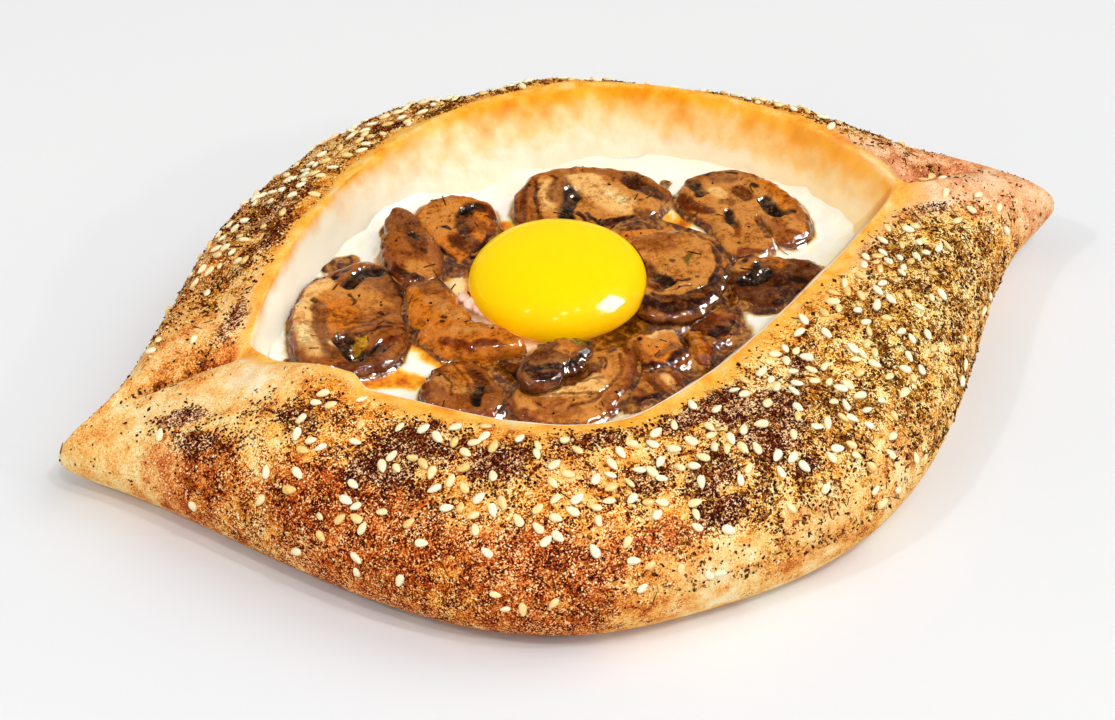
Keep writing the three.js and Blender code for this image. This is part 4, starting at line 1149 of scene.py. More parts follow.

# %% [markdown]
# ## Fried mushroom slices
# A fried slice is a limp disc with a brown skin round its cap, dark gills and a paler stem. It could
# be cut from a whole modelled mushroom, but no two slices share one. So every slice is a small
# pressed cushion with its own outline: a UV sphere whose rings are spread over a flat top, a rounded
# side and a flat underside. Then it is painted as a maker paints a model: a ground colour, and over
# it brush strokes that lay down a tone and raise or sink the surface. A lower slice sinks under the
# ones that lie on it.

# %% [markdown]
# The tones are a small box of paints. Each stroke names a tone, its half-width, how far it raises
# (or with a minus sinks) the surface, and the points it runs through, all in millimetres. A few strokes
# are painted shade: the shadow one slice casts on the slice below it, and shade along one side of a
# few slices.

# %% Tones and brush strokes
TONES = {"gill": (14, 3, 0), "slate": (38, 20, 10), "shade": (62, 22, 2), "umber": (100, 46, 8),
         "brown": (158, 84, 24), "mauve": (142, 82, 36), "tan": (208, 132, 54), "buff": (246, 190, 112),
         "cream": (255, 222, 156), "amber": (212, 118, 24), "rust": (122, 48, 4), "wine": (44, 10, 0),
         "olive": (118, 92, 16), "oil": (204, 148, 24), "garlic": (254, 220, 136)}
STROKES = {
    "mushroom_left": ("brown", [
        ("amber", 6, 0.3, (-56, 12), (-56, 5)), ("tan", 4.5, 0.3, (-50, 12), (-48, 6)),
        ("tan", 3, 0, (-58, 16), (-52, 13)), ("brown", 3, 0, (-52, 3), (-46, 4)),
        ("mauve", 2.6, -0.2, (-63, -3), (-62.5, 5), (-60.5, 11)),
        ("buff", 2.6, 0.2, (-66, -5), (-66.5, 4), (-64.5, 11)),
        ("buff", 2.2, 0.1, (-64, 12), (-60, 17), (-56, 18.5)), ("cream", 1.4, 0.1, (-66.4, -1), (-66.2, 4)),
        ("rust", 0.7, 0, (-69.5, -3), (-69, 6), (-65.5, 14), (-61, 20), (-55, 22.5)),
        ("brown", 3, 0, (-50, 23), (-44, 21)), ("mauve", 3, -0.2, (-45, 17), (-43, 12)),
        ("gill", 1.7, -1.3, (-52, 16), (-50, 18), (-47, 20), (-43.5, 19)),
        ("shade", 1.1, -0.6, (-54, 20.5), (-50, 22.5)),
        ("gill", 2.4, -1.6, (-58.5, -2), (-58.5, -5), (-58, -9)),
        ("gill", 1.6, -1.2, (-58, -9), (-53, -9), (-49.5, -6.5)),
        ("oil", 1.7, -0.9, (-54, -3), (-56.5, -6)), ("brown", 2.6, 0.5, (-50.5, -3), (-45.5, -4.5)),
        ("rust", 1.2, 0.2, (-50, -6.5), (-46, -6)), ("buff", 0.9, 0.2, (-61.3, -2.5), (-61.5, -3)),
        ("mauve", 1.5, 0, (-63, -5), (-62.5, -8)), ("umber", 1.6, 0, (-62, -11.5), (-54, -12)),
        ("mauve", 1.2, 0.2, (-52.5, -9.5), (-52, -11.5)),
        ("shade", 1.1, -0.3, (-41, 20), (-40.2, 10), (-40.7, 3)),
        ("umber", 0.35, -0.25, (-59, -1), (-55, 1), (-50, 1.8), (-43, 0)),
        ("umber", 0.3, -0.2, (-56, 3), (-51, 2.6), (-46, 4)),
        ("shade", 0.5, -0.4, (-60, -0.8), (-54, -1.3), (-47, -0.5)),
        ("wine", 0.35, 0.1, (-52.8, 12.5), (-52.6, 9.4)), ("wine", 0.5, 0, (-48.2, 5), (-48, 4.4)),
        ("shade", 0.6, 0, (-61, 13.6), (-60.6, 13))]),
    "mushroom_stem_far_left": ("brown", [
        ("mauve", 3.5, 0.2, (-36, 31), (-33, 31)), ("tan", 3, 0.2, (-35, 17.5), (-33, 17)),
        ("brown", 4, 0.2, (-35, 24), (-33, 22)), ("umber", 2.4, -0.2, (-33, 26.5), (-32, 24)),
        ("gill", 0.8, -0.5, (-33, 26.8), (-32.4, 26)),
        ("shade", 0.7, 0, (-39.5, 19), (-38, 15.5), (-35, 14.5)),
        ("shade", 0.5, 0, (-32, 22), (-31.4, 21.5))]),
    "mushroom_far_left": ("amber", [
        ("tan", 4, 0.2, (-26, 35), (-21, 37)), ("tan", 3, 0, (-24, 31), (-22, 33)),
        ("brown", 2, 0.2, (-30, 38), (-26, 41), (-20, 42), (-14, 40)),
        ("rust", 0.8, 0, (-30, 39), (-25.5, 42.3), (-19, 43), (-12.5, 40)),
        ("shade", 2.3, -0.7, (-19.5, 29), (-18, 33), (-15.5, 35.5), (-13, 34.5)),
        ("gill", 0.9, -0.9, (-17.5, 35), (-14.5, 35.8)), ("brown", 1.8, 0.3, (-16.5, 31), (-15.5, 27)),
        ("rust", 1.1, 0.2, (-11.6, 34), (-12.6, 28), (-15.5, 23)), ("umber", 3, -0.2, (-22, 26), (-19, 21)),
        ("wine", 1.3, -0.2, (-23, 17), (-18, 20), (-14.5, 24)),
        ("gill", 1.3, -0.9, (-27.5, 24), (-26, 19), (-27, 15)),
        ("gill", 0.55, -0.2, (-23.5, 31), (-22.7, 30.6)), ("mauve", 2, 0, (-31, 38), (-30, 34))]),
    "mushroom_far": ("tan", [
        ("brown", 2.6, 0.1, (-4, 27), (-1.5, 35), (2, 41)),
        ("umber", 0.9, 0, (-5.5, 27), (-3.5, 33), (-0.5, 39)),
        ("shade", 0.5, -0.3, (-1.6, 26), (-0.4, 32), (2, 38)), ("buff", 2, 0.1, (2, 30), (4, 37)),
        ("mauve", 3, -0.2, (5, 33), (9, 37)), ("gill", 2.2, -1.2, (4.6, 25), (6.5, 29), (9.4, 33)),
        ("buff", 4.2, 0.3, (13, 38), (15, 32), (19, 25)), ("cream", 0.8, 0.15, (17.6, 30), (20, 25.5)),
        ("brown", 2, 0, (6, 41.5), (14, 40), (22, 37)), ("brown", 3, 0, (22, 36), (25, 32)),
        ("shade", 2.5, -0.9, (24, 33), (26.5, 29), (29, 26)),
        ("brown", 1.2, 0, (27, 35), (30.5, 30), (31, 25)), ("wine", 1.3, 0.1, (13, 20.5), (20, 19.6)),
        ("mauve", 1.8, 0, (22, 21), (25, 19.5)), ("shade", 0.8, -0.5, (8, 25), (9.5, 20)),
        ("gill", 0.6, -0.5, (10, 25), (11.8, 19)), ("gill", 1.1, -0.6, (12, 18), (14, 16.5)),
        ("rust", 0.6, 0, (2, 42), (8, 42.6), (16, 41), (24, 38), (30, 32)),
        ("shade", 0.4, -0.2, (6, 39.5), (7, 37.6))]),
    "mushroom_far_right": ("tan", [
        ("brown", 2.6, 0.1, (50, 28), (55, 22), (57.5, 13), (57, 5)),
        ("amber", 2, 0.2, (54, 20), (56, 13), (55, 7)), ("brown", 2, 0.1, (35, 27), (40, 28), (45, 28)),
        ("mauve", 2.4, 0.2, (44, 26), (47, 25)), ("umber", 2, -0.2, (47, 20), (48, 17)),
        ("umber", 1.7, -0.2, (33.5, 22), (35, 18), (37.5, 15.5)),
        ("rust", 0.9, 0, (32.5, 24), (33.5, 19), (36, 16)), ("slate", 1.9, -1.1, (37.5, 26), (38, 22.5)),
        ("buff", 2, 0.4, (41.5, 22), (42.5, 19.5)), ("mauve", 1.1, 0.3, (41.5, 17), (43.5, 16.3)),
        ("gill", 1.3, -1, (41.5, 13), (41, 9)), ("rust", 0.9, -0.5, (41, 8), (40.5, 5)),
        ("tan", 2.4, 0.3, (38, 12), (37.5, 5)), ("tan", 2.6, 0.4, (45, 13), (43.5, 3)),
        ("rust", 1.2, 0, (38, -1.5), (43, -3)), ("gill", 1.9, -1.2, (51, 14), (52, 8.5)),
        ("slate", 0.9, -0.8, (52.5, 8), (55.5, 7)), ("brown", 2.2, 0.3, (50, 5), (50.5, 0)),
        ("rust", 0.8, 0.1, (52, 1), (53.5, -0.5)), ("shade", 0.9, -3, (47.4, 8.5), (47, 2)),
        ("gill", 0.9, 0, (42, 28.6), (42.3, 27.8)), ("gill", 0.7, 0, (51, 20.5), (51.2, 19.8)),
        ("rust", 0.7, 0, (49.5, 29), (55, 25), (58.5, 17), (59.5, 8), (57.5, 1))]),
    "mushroom_disc": ("tan", [
        ("brown", 5, 0.2, (18, 3), (23, 2)), ("tan", 4.5, 0.2, (26, -1), (25.5, -7)),
        # the umber stroke on the next line is painted shade along the disc's left side
        ("tan", 3, 0.2, (19, -5), (22, -9)), ("umber", 2.6, -0.3, (12.5, -4), (13.5, -11)),
        ("slate", 1.6, -0.4, (14, -9), (16, -11)), ("gill", 0.35, -0.5, (14.5, -12), (20.5, -11.7)),
        ("gill", 0.3, -0.5, (16, -13.4), (20, -13.7)), ("tan", 0.6, 0.2, (15, -12.8), (20, -12.7)),
        ("wine", 1.8, 0.2, (8, -14), (12.5, -18.5), (18, -20), (24, -18.5), (28, -14)),
        ("gill", 0.5, -0.5, (11, -13.5), (17, -16.7), (24, -15.8), (28.5, -11)),
        ("umber", 0.9, 0, (11.5, -14.3), (17, -17.4), (24, -16.4)),
        ("shade", 0.8, -0.2, (29, -10), (30.6, -4), (30, 2)), ("shade", 1, -0.3, (29.5, 3), (27, 6)),
        ("olive", 0.7, 0.35, (22, -7), (23.4, -4.8)), ("wine", 0.4, 0, (23.6, 3.4), (23.9, 3)),
        ("wine", 0.4, 0, (19, -5.3), (19.3, -5.6)), ("wine", 0.4, 0, (28.6, -8.2), (28.8, -8.6)),
        ("wine", 0.4, 0, (22.6, -11.8), (22.9, -12.1))]),
    "mushroom_under_disc": ("amber", [
        ("tan", 3, 0.2, (17, 13), (24, 13)), ("amber", 3, 0.3, (16, 16), (22, 16)),
        ("shade", 0.9, -0.8, (13, 11), (20, 9.3), (26, 10.5), (31, 7)), ("tan", 2, 0.2, (32, 4), (34, -2)),
        ("shade", 1.3, -0.6, (29.6, 3), (31, 0)), ("rust", 0.7, 0, (13, 17), (20, 19), (27, 16), (33, 7)),
        ("umber", 1.2, -0.3, (31, -6), (34, -8))]),
    "mushroom_right": ("umber", [
        ("tan", 3, 0.3, (34.5, -7), (38, -6.5)), ("brown", 3.5, 0.2, (44, -9), (48, -10)),
        ("amber", 1.5, 0.2, (42, -8), (45, -11)), ("umber", 4, 0.2, (48, -13), (46, -17)),
        ("gill", 1.8, -1.1, (33.5, -13), (37.5, -14), (40, -12.5)),
        ("gill", 1, -0.8, (36, -11.5), (39.5, -9)), ("shade", 2.4, -0.3, (42, -16), (42, -21)),
        ("slate", 1.4, -0.4, (45, -15.5), (47, -17)), ("rust", 0.9, 0, (45, -6.5), (51, -8.5), (53.6, -14)),
        ("umber", 2, 0, (31, -14), (31.5, -18)), ("wine", 1, 0, (38, -22.5), (46, -20.5), (52, -17)),
        ("mauve", 0.8, 0.2, (40.5, -9.2), (44, -9.8)), ("gill", 0.5, 0, (37.2, -6.5), (37.6, -6.2))]),
    "mushroom_crescent": ("amber", [
        ("mauve", 3, 0.1, (-36, 12), (-34, 6)), ("brown", 3, 0.2, (-35, 6), (-33, -1)),
        ("tan", 1.8, 0.1, (-36.5, 3), (-34, -2)), ("amber", 1.6, 0, (-31, 3), (-31.5, -3)),
        ("shade", 1.3, -0.6, (-31.5, 12), (-31.5, 6), (-30.5, 4)), ("tan", 2, 0, (-33, -4), (-30, -8)),
        ("mauve", 1, 0, (-29, -9), (-25, -14)), ("amber", 1.6, 0.1, (-39, 8), (-39.5, 1), (-38, -5)),
        ("amber", 2.4, 0.3, (-38.6, -5), (-36, -11), (-31, -15)),
        ("tan", 1.5, 0.3, (-35, -9.5), (-31, -12.5), (-27, -14.5)),
        ("amber", 2, 0.2, (-31, -15), (-25, -17.5), (-20, -18.5)),
        ("rust", 0.8, 0, (-38.5, -10), (-33, -16), (-27, -19)),
        ("gill", 0.4, 0, (-35.6, -4), (-35.2, -4.3)), ("gill", 0.4, 0, (-36.5, -5), (-36.2, -5.2))]),
    "mushroom_near_left": ("brown", [
        ("tan", 3, 0.2, (-42, -23), (-40, -28)), ("amber", 2.4, 0.1, (-38, -20), (-37, -24)),
        ("rust", 0.6, 0, (-47.5, -28), (-45, -20), (-39, -16.5)), ("brown", 2, 0, (-44, -30), (-41, -33)),
        # the umber stroke on the next line is painted shade along the slice's right side
        ("umber", 1.8, -0.4, (-34.5, -22), (-34, -29)), ("gill", 1.1, -0.8, (-35, -28), (-38, -33)),
        ("umber", 0.3, -0.15, (-42, -19), (-41, -25), (-42, -30)),
        ("umber", 0.3, -0.15, (-38, -18), (-37, -25), (-38, -30)),
        ("wine", 0.4, 0, (-43.2, -21.4), (-43, -21.8)), ("wine", 0.4, 0, (-33.8, -22.6), (-33.6, -22.9))]),
    "mushroom_stem_near_left": ("shade", [
        ("umber", 2.4, 0, (-27, -20), (-24, -24)),
        ("olive", 1.2, 0.5, (-30.4, -21), (-31.8, -25), (-32.8, -29)),
        ("slate", 1.4, 0.1, (-30, -27), (-27, -29)), ("gill", 1.2, -0.8, (-33, -30), (-27.5, -31)),
        ("oil", 2.4, -0.3, (-34, -36), (-30, -37)), ("umber", 1.4, 0, (-28, -33), (-27, -37))]),
    "mushroom_near_top": ("mauve", [
        ("umber", 3, 0, (-22, -27), (-17, -27)), ("mauve", 2, 0.2, (-21, -25.5), (-18, -25)),
        ("amber", 1.5, 0, (-15, -25.5), (-14.4, -28)), ("olive", 2, -0.6, (-11.8, -26), (-9, -27)),
        ("slate", 1.4, -0.7, (-11, -25.6), (-9.6, -26.8)), ("tan", 1.2, 0, (-15.5, -29), (-17, -28)),
        ("wine", 1.3, 0.1, (-25.5, -30), (-23.5, -34), (-17.5, -34.5), (-11.5, -31.5)),
        ("gill", 0.6, -0.3, (-23, -31.5), (-17, -32.5), (-11, -30)),
        ("rust", 0.8, 0.1, (-25, -27), (-21, -23.5), (-16.5, -23)),
        ("wine", 0.4, 0, (-14.6, -25), (-14.4, -25.3))]),
    "mushroom_near": ("tan", [
        ("buff", 3.5, 0.2, (-22, -34), (-12, -36)), ("tan", 3, 0.2, (-8, -31), (-6, -26)),
        ("brown", 2.2, 0, (-24.5, -38), (-21.5, -38.5)),
        ("rust", 1.1, 0, (-0.8, -25), (-1.2, -33), (-5, -39), (-11, -43.8)),
        ("umber", 0.35, -0.3, (-3, -30), (-4.5, -34), (-8, -37.5), (-14, -40.5), (-20, -41)),
        ("brown", 1, 0.1, (-2.6, -32), (-6, -38), (-12, -42)),
        ("rust", 1.1, 0, (-31, -33), (-31.4, -38), (-28, -41)), ("brown", 1.5, 0, (-26, -41), (-18, -42.5)),
        ("umber", 0.3, -0.2, (-27, -33), (-20, -36.5), (-12, -38.5)),
        ("umber", 0.25, -0.15, (-24, -31.8), (-17, -34), (-9, -35)),
        ("shade", 0.8, -0.2, (-4.6, -28.2), (-1.6, -26.2)),
        ("wine", 0.25, 0.25, (-7.6, -29.4), (-9.2, -33.2)),
        ("wine", 0.25, 0.25, (-6.6, -29.6), (-7.8, -32.8)),
        # painted shadow cast by mushroom_near_top, which lies on this slice
        ("umber", 1.6, -0.2, (-27, -31), (-17, -33.5), (-10, -31.5)),
        ("wine", 0.35, 0, (-25.4, -38.2), (-25, -38.5))]),
    "mushroom_stem_near": ("amber", [
        ("tan", 3, 0.3, (3, -27), (9, -27)), ("buff", 1.4, 0.1, (6, -25.5), (10, -25.5)),
        # the brown stroke on the next line is painted shade at the stem's lower left
        ("brown", 1.8, -0.2, (0.8, -28), (1.6, -32)), ("rust", 0.5, 0, (1, -24.2), (8, -23.6)),
        ("wine", 1.2, -0.2, (0.6, -33.6), (6, -35), (11, -32)),
        ("gill", 0.8, -0.4, (12.4, -25), (12.2, -31)), ("wine", 0.45, 0, (3, -26.6), (3.3, -26.4)),
        ("mauve", 0.8, 0, (5, -32), (10, -30.5))]),
    "mushroom_sliver_near": ("amber", [
        ("tan", 1.3, 0.2, (15, -26.5), (15, -31)), ("shade", 0.6, -0.5, (13, -26.5), (12.6, -32)),
        ("rust", 0.8, 0, (16.3, -25), (17.8, -28), (17, -33), (14, -36))]),
    "mushroom_wedge_near": ("rust", [
        ("brown", 1.6, 0.2, (23.5, -20), (26, -22)), ("umber", 2, -0.4, (19, -23), (21, -25)),
        ("wine", 1.4, 0, (20, -28), (26, -26)), ("mauve", 0.8, 0.2, (22.5, -24.6), (24.5, -25.4)),
        ("amber", 1, 0.1, (24, -21), (25, -20.4))]),
    "mushroom_chip_near": ("brown", [
        ("tan", 2, 0.1, (-3, -37), (-1, -40)), ("buff", 1.4, 0.3, (4.4, -38.6), (4.8, -40.6)),
        ("rust", 1.4, 0, (8.4, -36), (7, -41)), ("wine", 1.2, 0, (-8, -43.5), (-3, -43.8), (2, -43.5)),
        ("mauve", 0.5, 0.1, (-4, -38), (-2, -42)), ("umber", 0.8, -0.4, (0.5, -38), (1.5, -42))]),
    "garlic_bit": ("garlic", [
        ("buff", 1, 0, (-31, 9), (-30, 7)), ("cream", 1.6, 0.1, (-27.5, 10.5), (-26, 9.5))]),
}
print(sum(len(painted) for _, painted in STROKES.values()), "brush strokes")


# %% A tilt as a matrix
def turned_frame(tilt):
    """A turn about X, then about Y, both in degrees."""
    about_x, about_y = (math.radians(v) for v in tilt)
    return np.array(Matrix.Rotation(about_y, 3, "Y") @ Matrix.Rotation(about_x, 3, "X"))


# %% Limits that a slice has to keep
def underside_of(piece, x, y):
    """Height at which a slice below this one has to stop, at each place of the plan."""
    _, at, tilt, thick, _, _ = piece
    normal = turned_frame(tilt)[:, 2]
    plane = at[2] - (normal[0] * (x - at[0]) + normal[1] * (y - at[1])) / normal[2]
    half = SLICE_THICKNESS * thick / 2
    return plane - half - 0.35 + 1.6 * np.maximum(0, outside_of(piece, x, y) + 0.8) ** 1.3


def wall_limit(x, y, z):
    """How far from the middle the inner wall lets a point stand, in its direction."""
    station = np.interp(-z, [-36, -32.4, -27.2, -22.6, -17], [0, 2, 3, 4, 5])
    around = np.linspace(0, 2 * math.pi, 241)
    keys = (2, 2.5, 3, 3.5, 4)
    angle = np.arctan2(y, x) % (2 * math.pi)
    reach = []
    for key in keys:
        ring_x, ring_y, _ = wall(around, key, 0.5).T
        reach.append(np.interp(angle, np.unwrap(np.arctan2(ring_y, ring_x)), np.hypot(ring_x, ring_y)))
    reach, place = np.array(reach), np.clip((station - 2) * 2, 0, 3.999)
    low = np.floor(place).astype(int)
    index = np.arange(reach.shape[1])
    return reach[low, index] * (1 - place + low) + reach[low + 1, index] * (place - low)


# %% A brush
def brush(x, y, width, path):
    """1 under the brush and 0 away from it, with a soft edge."""
    total = np.zeros(len(x))
    for start, end in zip(path, path[1:]):
        total = np.maximum(total, 1 - ease(0.6 * width, width + 0.35, away_from(x, y, start, end)))
    return total


# %% The body of a slice
SEGMENTS, RINGS = 200, 112
TOP_END, SIDE_END = 0.6, 0.86       # the rings before the first make the top, up to the second the side
ROUNDING = 2.3                      # how far the flat faces stop inside the outline


def cushion(piece, unit):
    """Spreads the points of a unit ball over a slice; gives their angle and how far each is on top."""
    name, at, tilt, thick, crown, _ = piece
    angle = np.arctan2(unit[:, 1], unit[:, 0])
    step = np.arccos(np.clip(unit[:, 2], -1, 1)) / math.pi
    arc = np.clip((step - TOP_END) / (SIDE_END - TOP_END), 0, 1) * math.pi
    below = np.where(step > SIDE_END, (1 - step) / (1 - SIDE_END), 1)
    share = np.where(step < TOP_END, step / TOP_END, below)
    phase = len(name)
    wobble = 0.3 * np.sin(7 * angle + phase) * (0.5 + 0.5 * np.sin(3 * angle))
    wobble = wobble + 0.2 * np.sin(17 * angle + 2 * phase)
    inset = ROUNDING * (1 - np.sin(arc))
    radius = np.maximum(0, radius_at(piece, angle) - inset + wobble * share ** 3) * share
    squared = np.sign(np.cos(arc)) * np.abs(np.cos(arc)) ** 0.9
    height = SLICE_THICKNESS * thick / 2 * squared + crown * (radius / 15) ** 2
    local = np.stack([radius * np.cos(angle), radius * np.sin(angle), height], -1)
    on_top = np.where(step < TOP_END, 1, np.clip(np.cos(arc), 0, 1))
    return local @ turned_frame(tilt).T + at, angle, on_top


# %% Paint and relief of a slice
def paint_slice(name, points, on_top, skin):
    """The colour of each point, and how far the strokes and the hills lift it."""
    x = points[:, 0] + 0.5 * lumps(points, 2.6, 3) + 0.25 * lumps(points, 1, 7)
    y = points[:, 1] + 0.5 * lumps(points, 2.6, 4) + 0.25 * lumps(points, 1, 8)
    ground, painted = STROKES[name]
    colour = np.tile(TONES[ground], (len(x), 1)).astype(float)
    sidewall = (1 - on_top)[:, None]
    wine, amber, rust = (np.array(TONES[tone]) for tone in ("wine", "amber", "rust"))
    crescent = "crescent" in name
    warmth = (0.28 + 0.3 * lumps(points, 3, 9) + 0.8 * crescent)[:, None]
    colour = colour * (1 - 0.85 * sidewall) + (wine + (amber - wine) * warmth) * 0.85 * sidewall
    lift = 0.35 * lumps(points, 6, 6) + 0.22 * lumps(points, 3, 15) + 0.08 * lumps(points, 1.5, 5)
    patchy = np.clip(0.95 + 0.4 * lumps(points, 1.3, 20) + 0.3 * lumps(points, 0.7, 21), 0, 1)
    for tone, width, rise, *path in painted:
        cover = brush(x, y, width, path) * (on_top * 0.75 + 0.25) * patchy * min(1, 0.4 + width)
        colour += (np.array(TONES[tone]) - colour) * (0.95 * cover)[:, None]
        lift = lift + (rise if rise > -1.4 else rise * 1.5) * cover * 0.6
    if not crescent:
        colour += (rust * (0.9 + 0.4 * lumps(points, 4, 2))[:, None] - colour) * (skin * on_top)[:, None]
    return colour, lift


# %% Make room for the slices above, the yolk and the wall
def make_room(name, points, at, half, above):
    """Moves the points of a slice out of everything that it would cut."""
    for other in above:
        limit = underside_of(other, points[:, 0], points[:, 1]) + 0.25 * (points[:, 2] - at[2]) / half
        points[:, 2] = np.minimum(points[:, 2], np.maximum(limit, CHEESE_Z + 0.6))
    if name != "mushroom_near_top":     # that one lies well clear of the yolk
        away = points[:, :2] - (YOLK["x"], YOLK["y"])
        distance = np.maximum(np.linalg.norm(away, axis=1), 1e-6)
        pushed = np.maximum(distance, yolk_radius(points[:, 2], 0.4))
        points[:, :2] = (YOLK["x"], YOLK["y"]) + away * (pushed / distance)[:, None]
    reach = np.hypot(points[:, 0], points[:, 1])
    limit = wall_limit(points[:, 0], points[:, 1], points[:, 2])
    points[:, :2] *= np.minimum(1, limit / np.maximum(reach, 1e-6))[:, None]


# %% One slice
def add_slice(piece, above):
    """A slice with its shape, paint and relief; above are the slices that lie on it."""
    name, at, thick = piece[0], piece[1], piece[3]
    mushroom = name.startswith("mushroom")
    bpy.ops.mesh.primitive_uv_sphere_add(segments=SEGMENTS, ring_count=RINGS, radius=1)
    made = bpy.context.object
    made.name = made.data.name = ("fried_" if mushroom else "soft_") + name
    flat = np.empty(len(made.data.vertices) * 3)
    made.data.vertices.foreach_get("co", flat)
    points, angle, on_top = cushion(piece, flat.reshape(-1, 3))
    inward = -outside_of(piece, points[:, 0], points[:, 1])
    skin = (1 - ease(0.3, 1.1, inward)) * 0.85
    droop = 1.1 * np.exp(-np.maximum(0, inward) / 1.7)
    colour, lift = paint_slice(name, points, on_top, skin)
    puckered = ease(-0.1, 0.4, lumps(points, 6, 24)) * 0.5 * np.abs(lumps(points, 2.4, 25)) ** 0.7
    wrinkled = (0.3 * lumps(points, 2.2, 22) + 0.14 * lumps(points, 1.1, 23)) * np.maximum(1 - on_top, skin)
    points[:, 2] += on_top * (lift - puckered * mushroom - droop)
    sideways = np.stack([np.cos(angle), np.sin(angle), 0.6 + 0 * angle], -1)
    points += (wrinkled * mushroom)[:, None] * sideways
    make_room(name, points, at, SLICE_THICKNESS * thick / 2, above)
    points[:, 2] = np.maximum(points[:, 2], CHEESE_Z + 0.55 + 0.4 * on_top)
    made.data.vertices.foreach_set("co", (points * MM).ravel())
    painted = np.insert(linear(np.clip(colour, 0, 255) / 255), 3, 1, axis=1)
    layer = made.data.attributes.new("flesh", "FLOAT_COLOR", "POINT")
    layer.data.foreach_set("color", painted.astype(np.float32).ravel())
    carry(made, "side", 1 - on_top)
    bpy.ops.object.shade_smooth()
    return made


# %% The finishes of the slices
def mushroom_finish():
    f = Finish("fried_mushroom", Specular_IOR_Level=0.03, Coat_Roughness=0.1, Coat_IOR=1.5)
    painted = f.node("ShaderNodeAttribute", {"attribute_name": "flesh"}, output="Color")
    side = f.read("side")
    blotch, mid, fine = f.grain(4, 3, 0.5), f.grain(1.6, 4, 0.65), f.grain(0.5, 3, 0.6)
    dark = f.mix(1.0, painted, paint(128, 88, 52), "MULTIPLY")
    light = f.mix(1.0, painted, paint(130, 92, 40), "SCREEN")
    gills = f.grain(0.7, 3, 0.6, stretch=(0.3, 1, 1))
    uneven = sway(blotch, 1.8) + sway(mid, 2.6) + sway(gills, 0.9) + sway(fine, 1.4) - 0.1
    colour = f.mix((0 - uneven).held(), painted, dark)
    colour = f.mix((uneven * 0.9).held(), colour, light)
    colour = f.mix(f.band(f.grain(0.9, 1), 0.755, 0.79), colour, paint(40, 10, 2))
    wet = f.band(blotch + side * 0.3, 0.46, 0.56)
    return f.wear(Base_Color=colour, Roughness=0.5 - wet * 0.35, Coat_Weight=0.1 + wet * 0.9,
                  Normal=f.bump(blotch * 0.6 + mid * 0.3, 0.9))


def garlic_finish():
    f = Finish("soft_garlic", Roughness=0.35, Coat_Weight=0.5, Coat_Roughness=0.15, Subsurface_Weight=0.2,
               Subsurface_Radius=(0.003, 0.002, 0.001))
    mid = f.grain(2, 3)
    return f.wear(Base_Color=f.ramp(mid, (0.3, 250, 204, 120), (0.65, 255, 232, 170)),
                  Normal=f.bump(mid, 0.4))


# %% All the slices, from the top one down
flesh = {"mushroom": mushroom_finish(), "garlic": garlic_finish()}
filling = [cheese]
for index, piece in enumerate(PIECES):
    made = add_slice(piece, PIECES[:index])
    kind = piece[0].split("_")[0]
    finish_piece(made, kind, flesh[kind], piece[0])
    filling.append(made)

# %% [markdown]
# ## Herbs on the filling
# Some herbs fell on the filling too. They could be dropped as rigid bodies, but a ray does it in an
# instant: shot from above, it finds the highest slice, or the cheese, under each chosen place.

# %% Flakes and stalks on the slices
def from_above(trees, x, y):
    """The highest point of the filling at a place of the plan, and its normal."""
    hits = [tree.ray_cast(Vector((x, y, 60)) * MM, Vector((0, 0, -1))) for tree in trees]
    return max((hit for hit in hits if hit[0]), key=lambda hit: hit[0].z, default=None)


FILLING_X, FILLING_Y = (-70, 62), (-44, 46)


def sprinkle(name, shape, count, seed, sizes, steep):
    """Strews a shape over the slices and close round them, but not on the yolk."""
    chooser, found = np.random.default_rng(seed), []
    while len(found) < count:
        x, y = chooser.uniform(*FILLING_X), chooser.uniform(*FILLING_Y)
        on_slice = min(outside_of(piece, np.array([x]), np.array([y]))[0] for piece in PIECES)
        beside_yolk = math.hypot(x - YOLK["x"], y - YOLK["y"]) > YOLK["radius"] + 1
        hit = from_above(trees, x, y)
        if beside_yolk and hit and on_slice < chooser.choice((-0.5, 0, 2.5)):
            found.append((*(hit[0] / MM), *hit[1]))
    place, normal = np.hsplit(np.array(found), 2)
    size = chooser.uniform(*sizes, count)[:, None] * np.ones(3)
    frames = stand(normal, np.tile((1.0, 0, 0), (count, 1)), chooser.uniform(0, 6.28, count),
                   chooser.normal(0, steep, count), chooser.normal(0, steep, count), size)
    scatter(name, shape, place + normal * 0.12, frames, "mushroom", wet_herb, chooser.random(count))


wet_herb = crumb_finish("wet_herb", (0.0, 24, 8, 0), (0.6, 58, 30, 4), (1.0, 104, 72, 12))
bpy.context.view_layer.update()
trees = [BVHTree.FromPolygons([v.co[:] for v in o.data.vertices], [p.vertices[:] for p in o.data.polygons])
         for o in filling]
sprinkle("filling_flakes", add_flake(), 170, 41, (0.3, 1.1), 0.25)
sprinkle("filling_stalks", add_stalk(), 46, 42, (1.4, 3.2), 0.08)

# %% [markdown]
# ## Floor, light and camera
# The bread lies on a pale floor, a little darker and cooler close to it: painted shade and a cool tint
# that even out the lamps' brighter pool and the crust's warm bounce there. Soft daylight comes from
# three broad suns that show in nothing wet, because their reflections would veil the dark slices. What
# is wet gets its highlights from a window that lights nothing else, and from five small lamps. The
# camera looks down from the near side through a long lens.

# %% Floor
FLOOR_SIZE = 8
bpy.ops.mesh.primitive_plane_add(size=FLOOR_SIZE)
floor = bpy.context.object
floor.name = "pale_floor"
f = Finish("pale_floor", Roughness=0.9, Specular_IOR_Level=0.1)
oval = f.node("ShaderNodeVectorMath", {"operation": "MULTIPLY"}, {0: f.place, 1: (0.72, 1.0, 1.0)})
away = f.node("ShaderNodeVectorMath", {"operation": "LENGTH"}, {0: oval}, "Value")
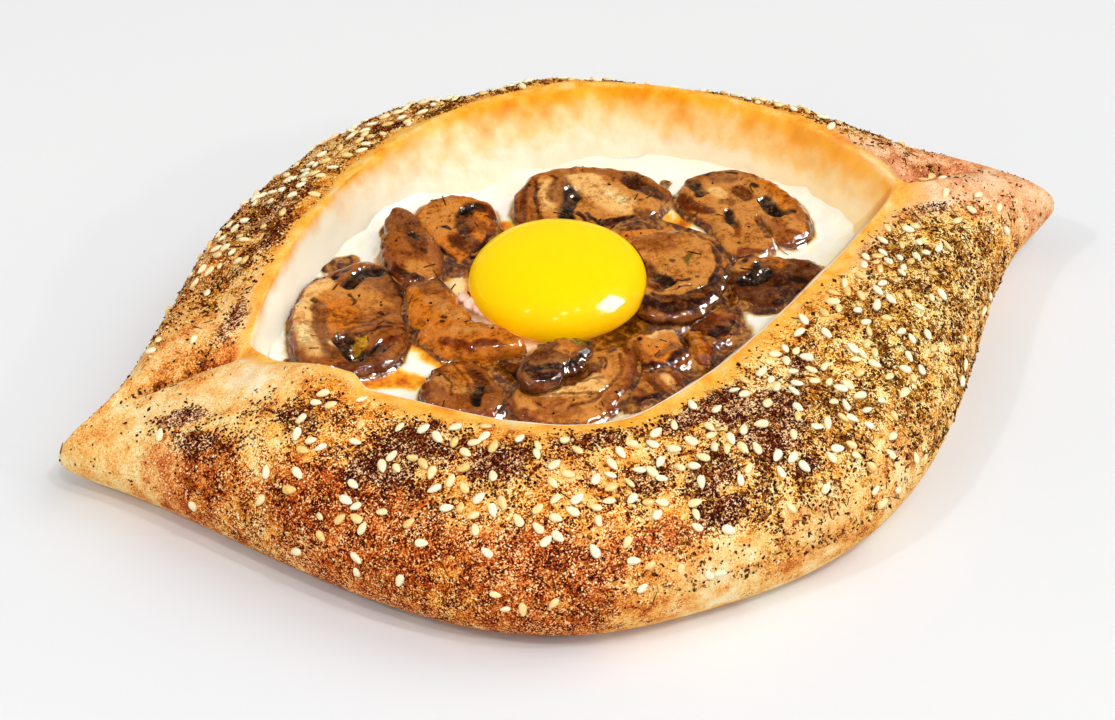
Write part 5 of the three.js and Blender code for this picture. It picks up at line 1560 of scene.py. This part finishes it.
# painted shade: the floor is darker and cooler near the bread, against the lamps' pool of light and the
# crust's warm bounce
white = f.mix(f.band(away, 0.07, 0.15), paint(230, 232, 234), paint(236, 236, 236))
floor.data.materials.append(f.wear(Base_Color=f.mix(f.grain(60, 3) * 0.1, white, paint(215, 215, 215))))
print("floor:", FLOOR_SIZE, "m square")
bpy.ops.object.select_all(action="DESELECT")

# %% Light
TARGET = Vector((-11.6, -12.9, 15.0)) * MM


def toward(azimuth, elevation):
    """The direction to a place round the bread: azimuth 0 is the near side, 90 the right."""
    a, e = math.radians(azimuth), math.radians(elevation)
    return Vector((math.sin(a) * math.cos(e), -math.cos(a) * math.cos(e), math.sin(e)))


def add_light(kind, name, direction, distance, power, glossy=True, diffuse=True, **settings):
    """A light aimed at the bread; it can be kept out of the gloss or out of the plain shading."""
    lamp = bpy.data.lights.new(name, kind)
    lamp.energy = power
    for key, value in settings.items():
        setattr(lamp, key, value)
    made = bpy.data.objects.new(name, lamp)
    made.location = TARGET + direction * distance
    made.rotation_euler = direction.to_track_quat("Z", "Y").to_euler()
    made.visible_glossy, made.visible_diffuse = glossy, diffuse
    bpy.context.scene.collection.objects.link(made)


# %% Suns, window and lamps
for name, azimuth, elevation, power in (("daylight", 15, 62, 0.36), ("left_fill", -80, 55, 0.42),
                                        ("right_fill", 85, 50, 0.85)):
    add_light("SUN", name, toward(azimuth, elevation), 1, power, glossy=False, angle=math.radians(40))
add_light("AREA", "window", toward(60, 34), 2, 190, diffuse=False, shape="RECTANGLE", size=0.9, size_y=1.2)
for name, azimuth, elevation, power in (("left", -74, 48, 4.6), ("near_left", -24, 44, 4),
                                        ("near", -6, 58, 5.4), ("near_right", 22, 60, 5.4),
                                        ("right", 40, 30, 3.2)):
    add_light("AREA", "lamp_" + name, toward(azimuth, elevation), 2, power, shape="DISK", size=0.1)
print("lights:", len(bpy.data.lights))

# %% The room's own light
world = bpy.data.worlds.new("soft_room")
bpy.context.scene.world = world
world.use_nodes = True
world.node_tree.nodes["Background"].inputs["Color"].default_value = (1, 1, 1, 1)
world.node_tree.nodes["Background"].inputs["Strength"].default_value = 0.25
bpy.context.scene.view_settings.view_transform = "Standard"
print("room:", world.name)

# %% Camera
CAMERA_AZIMUTH, CAMERA_ELEVATION, CAMERA_DISTANCE = -20.4, 39.0, 0.560
SENSOR_WIDTH = 36
FOCAL_SHARE = 2464 / 1115           # focal length in widths of the picture
back = toward(CAMERA_AZIMUTH, CAMERA_ELEVATION)
lens = bpy.data.cameras.new("portrait")
lens.sensor_fit, lens.sensor_width, lens.lens = "HORIZONTAL", SENSOR_WIDTH, SENSOR_WIDTH * FOCAL_SHARE
camera = bpy.data.objects.new("portrait", lens)
camera.location = TARGET + back * CAMERA_DISTANCE
camera.rotation_euler = back.to_track_quat("Z", "Y").to_euler()
bpy.context.scene.collection.objects.link(camera)
bpy.context.scene.camera = camera
print("camera:", round(lens.lens, 1), "mm lens,", CAMERA_DISTANCE, "m away")
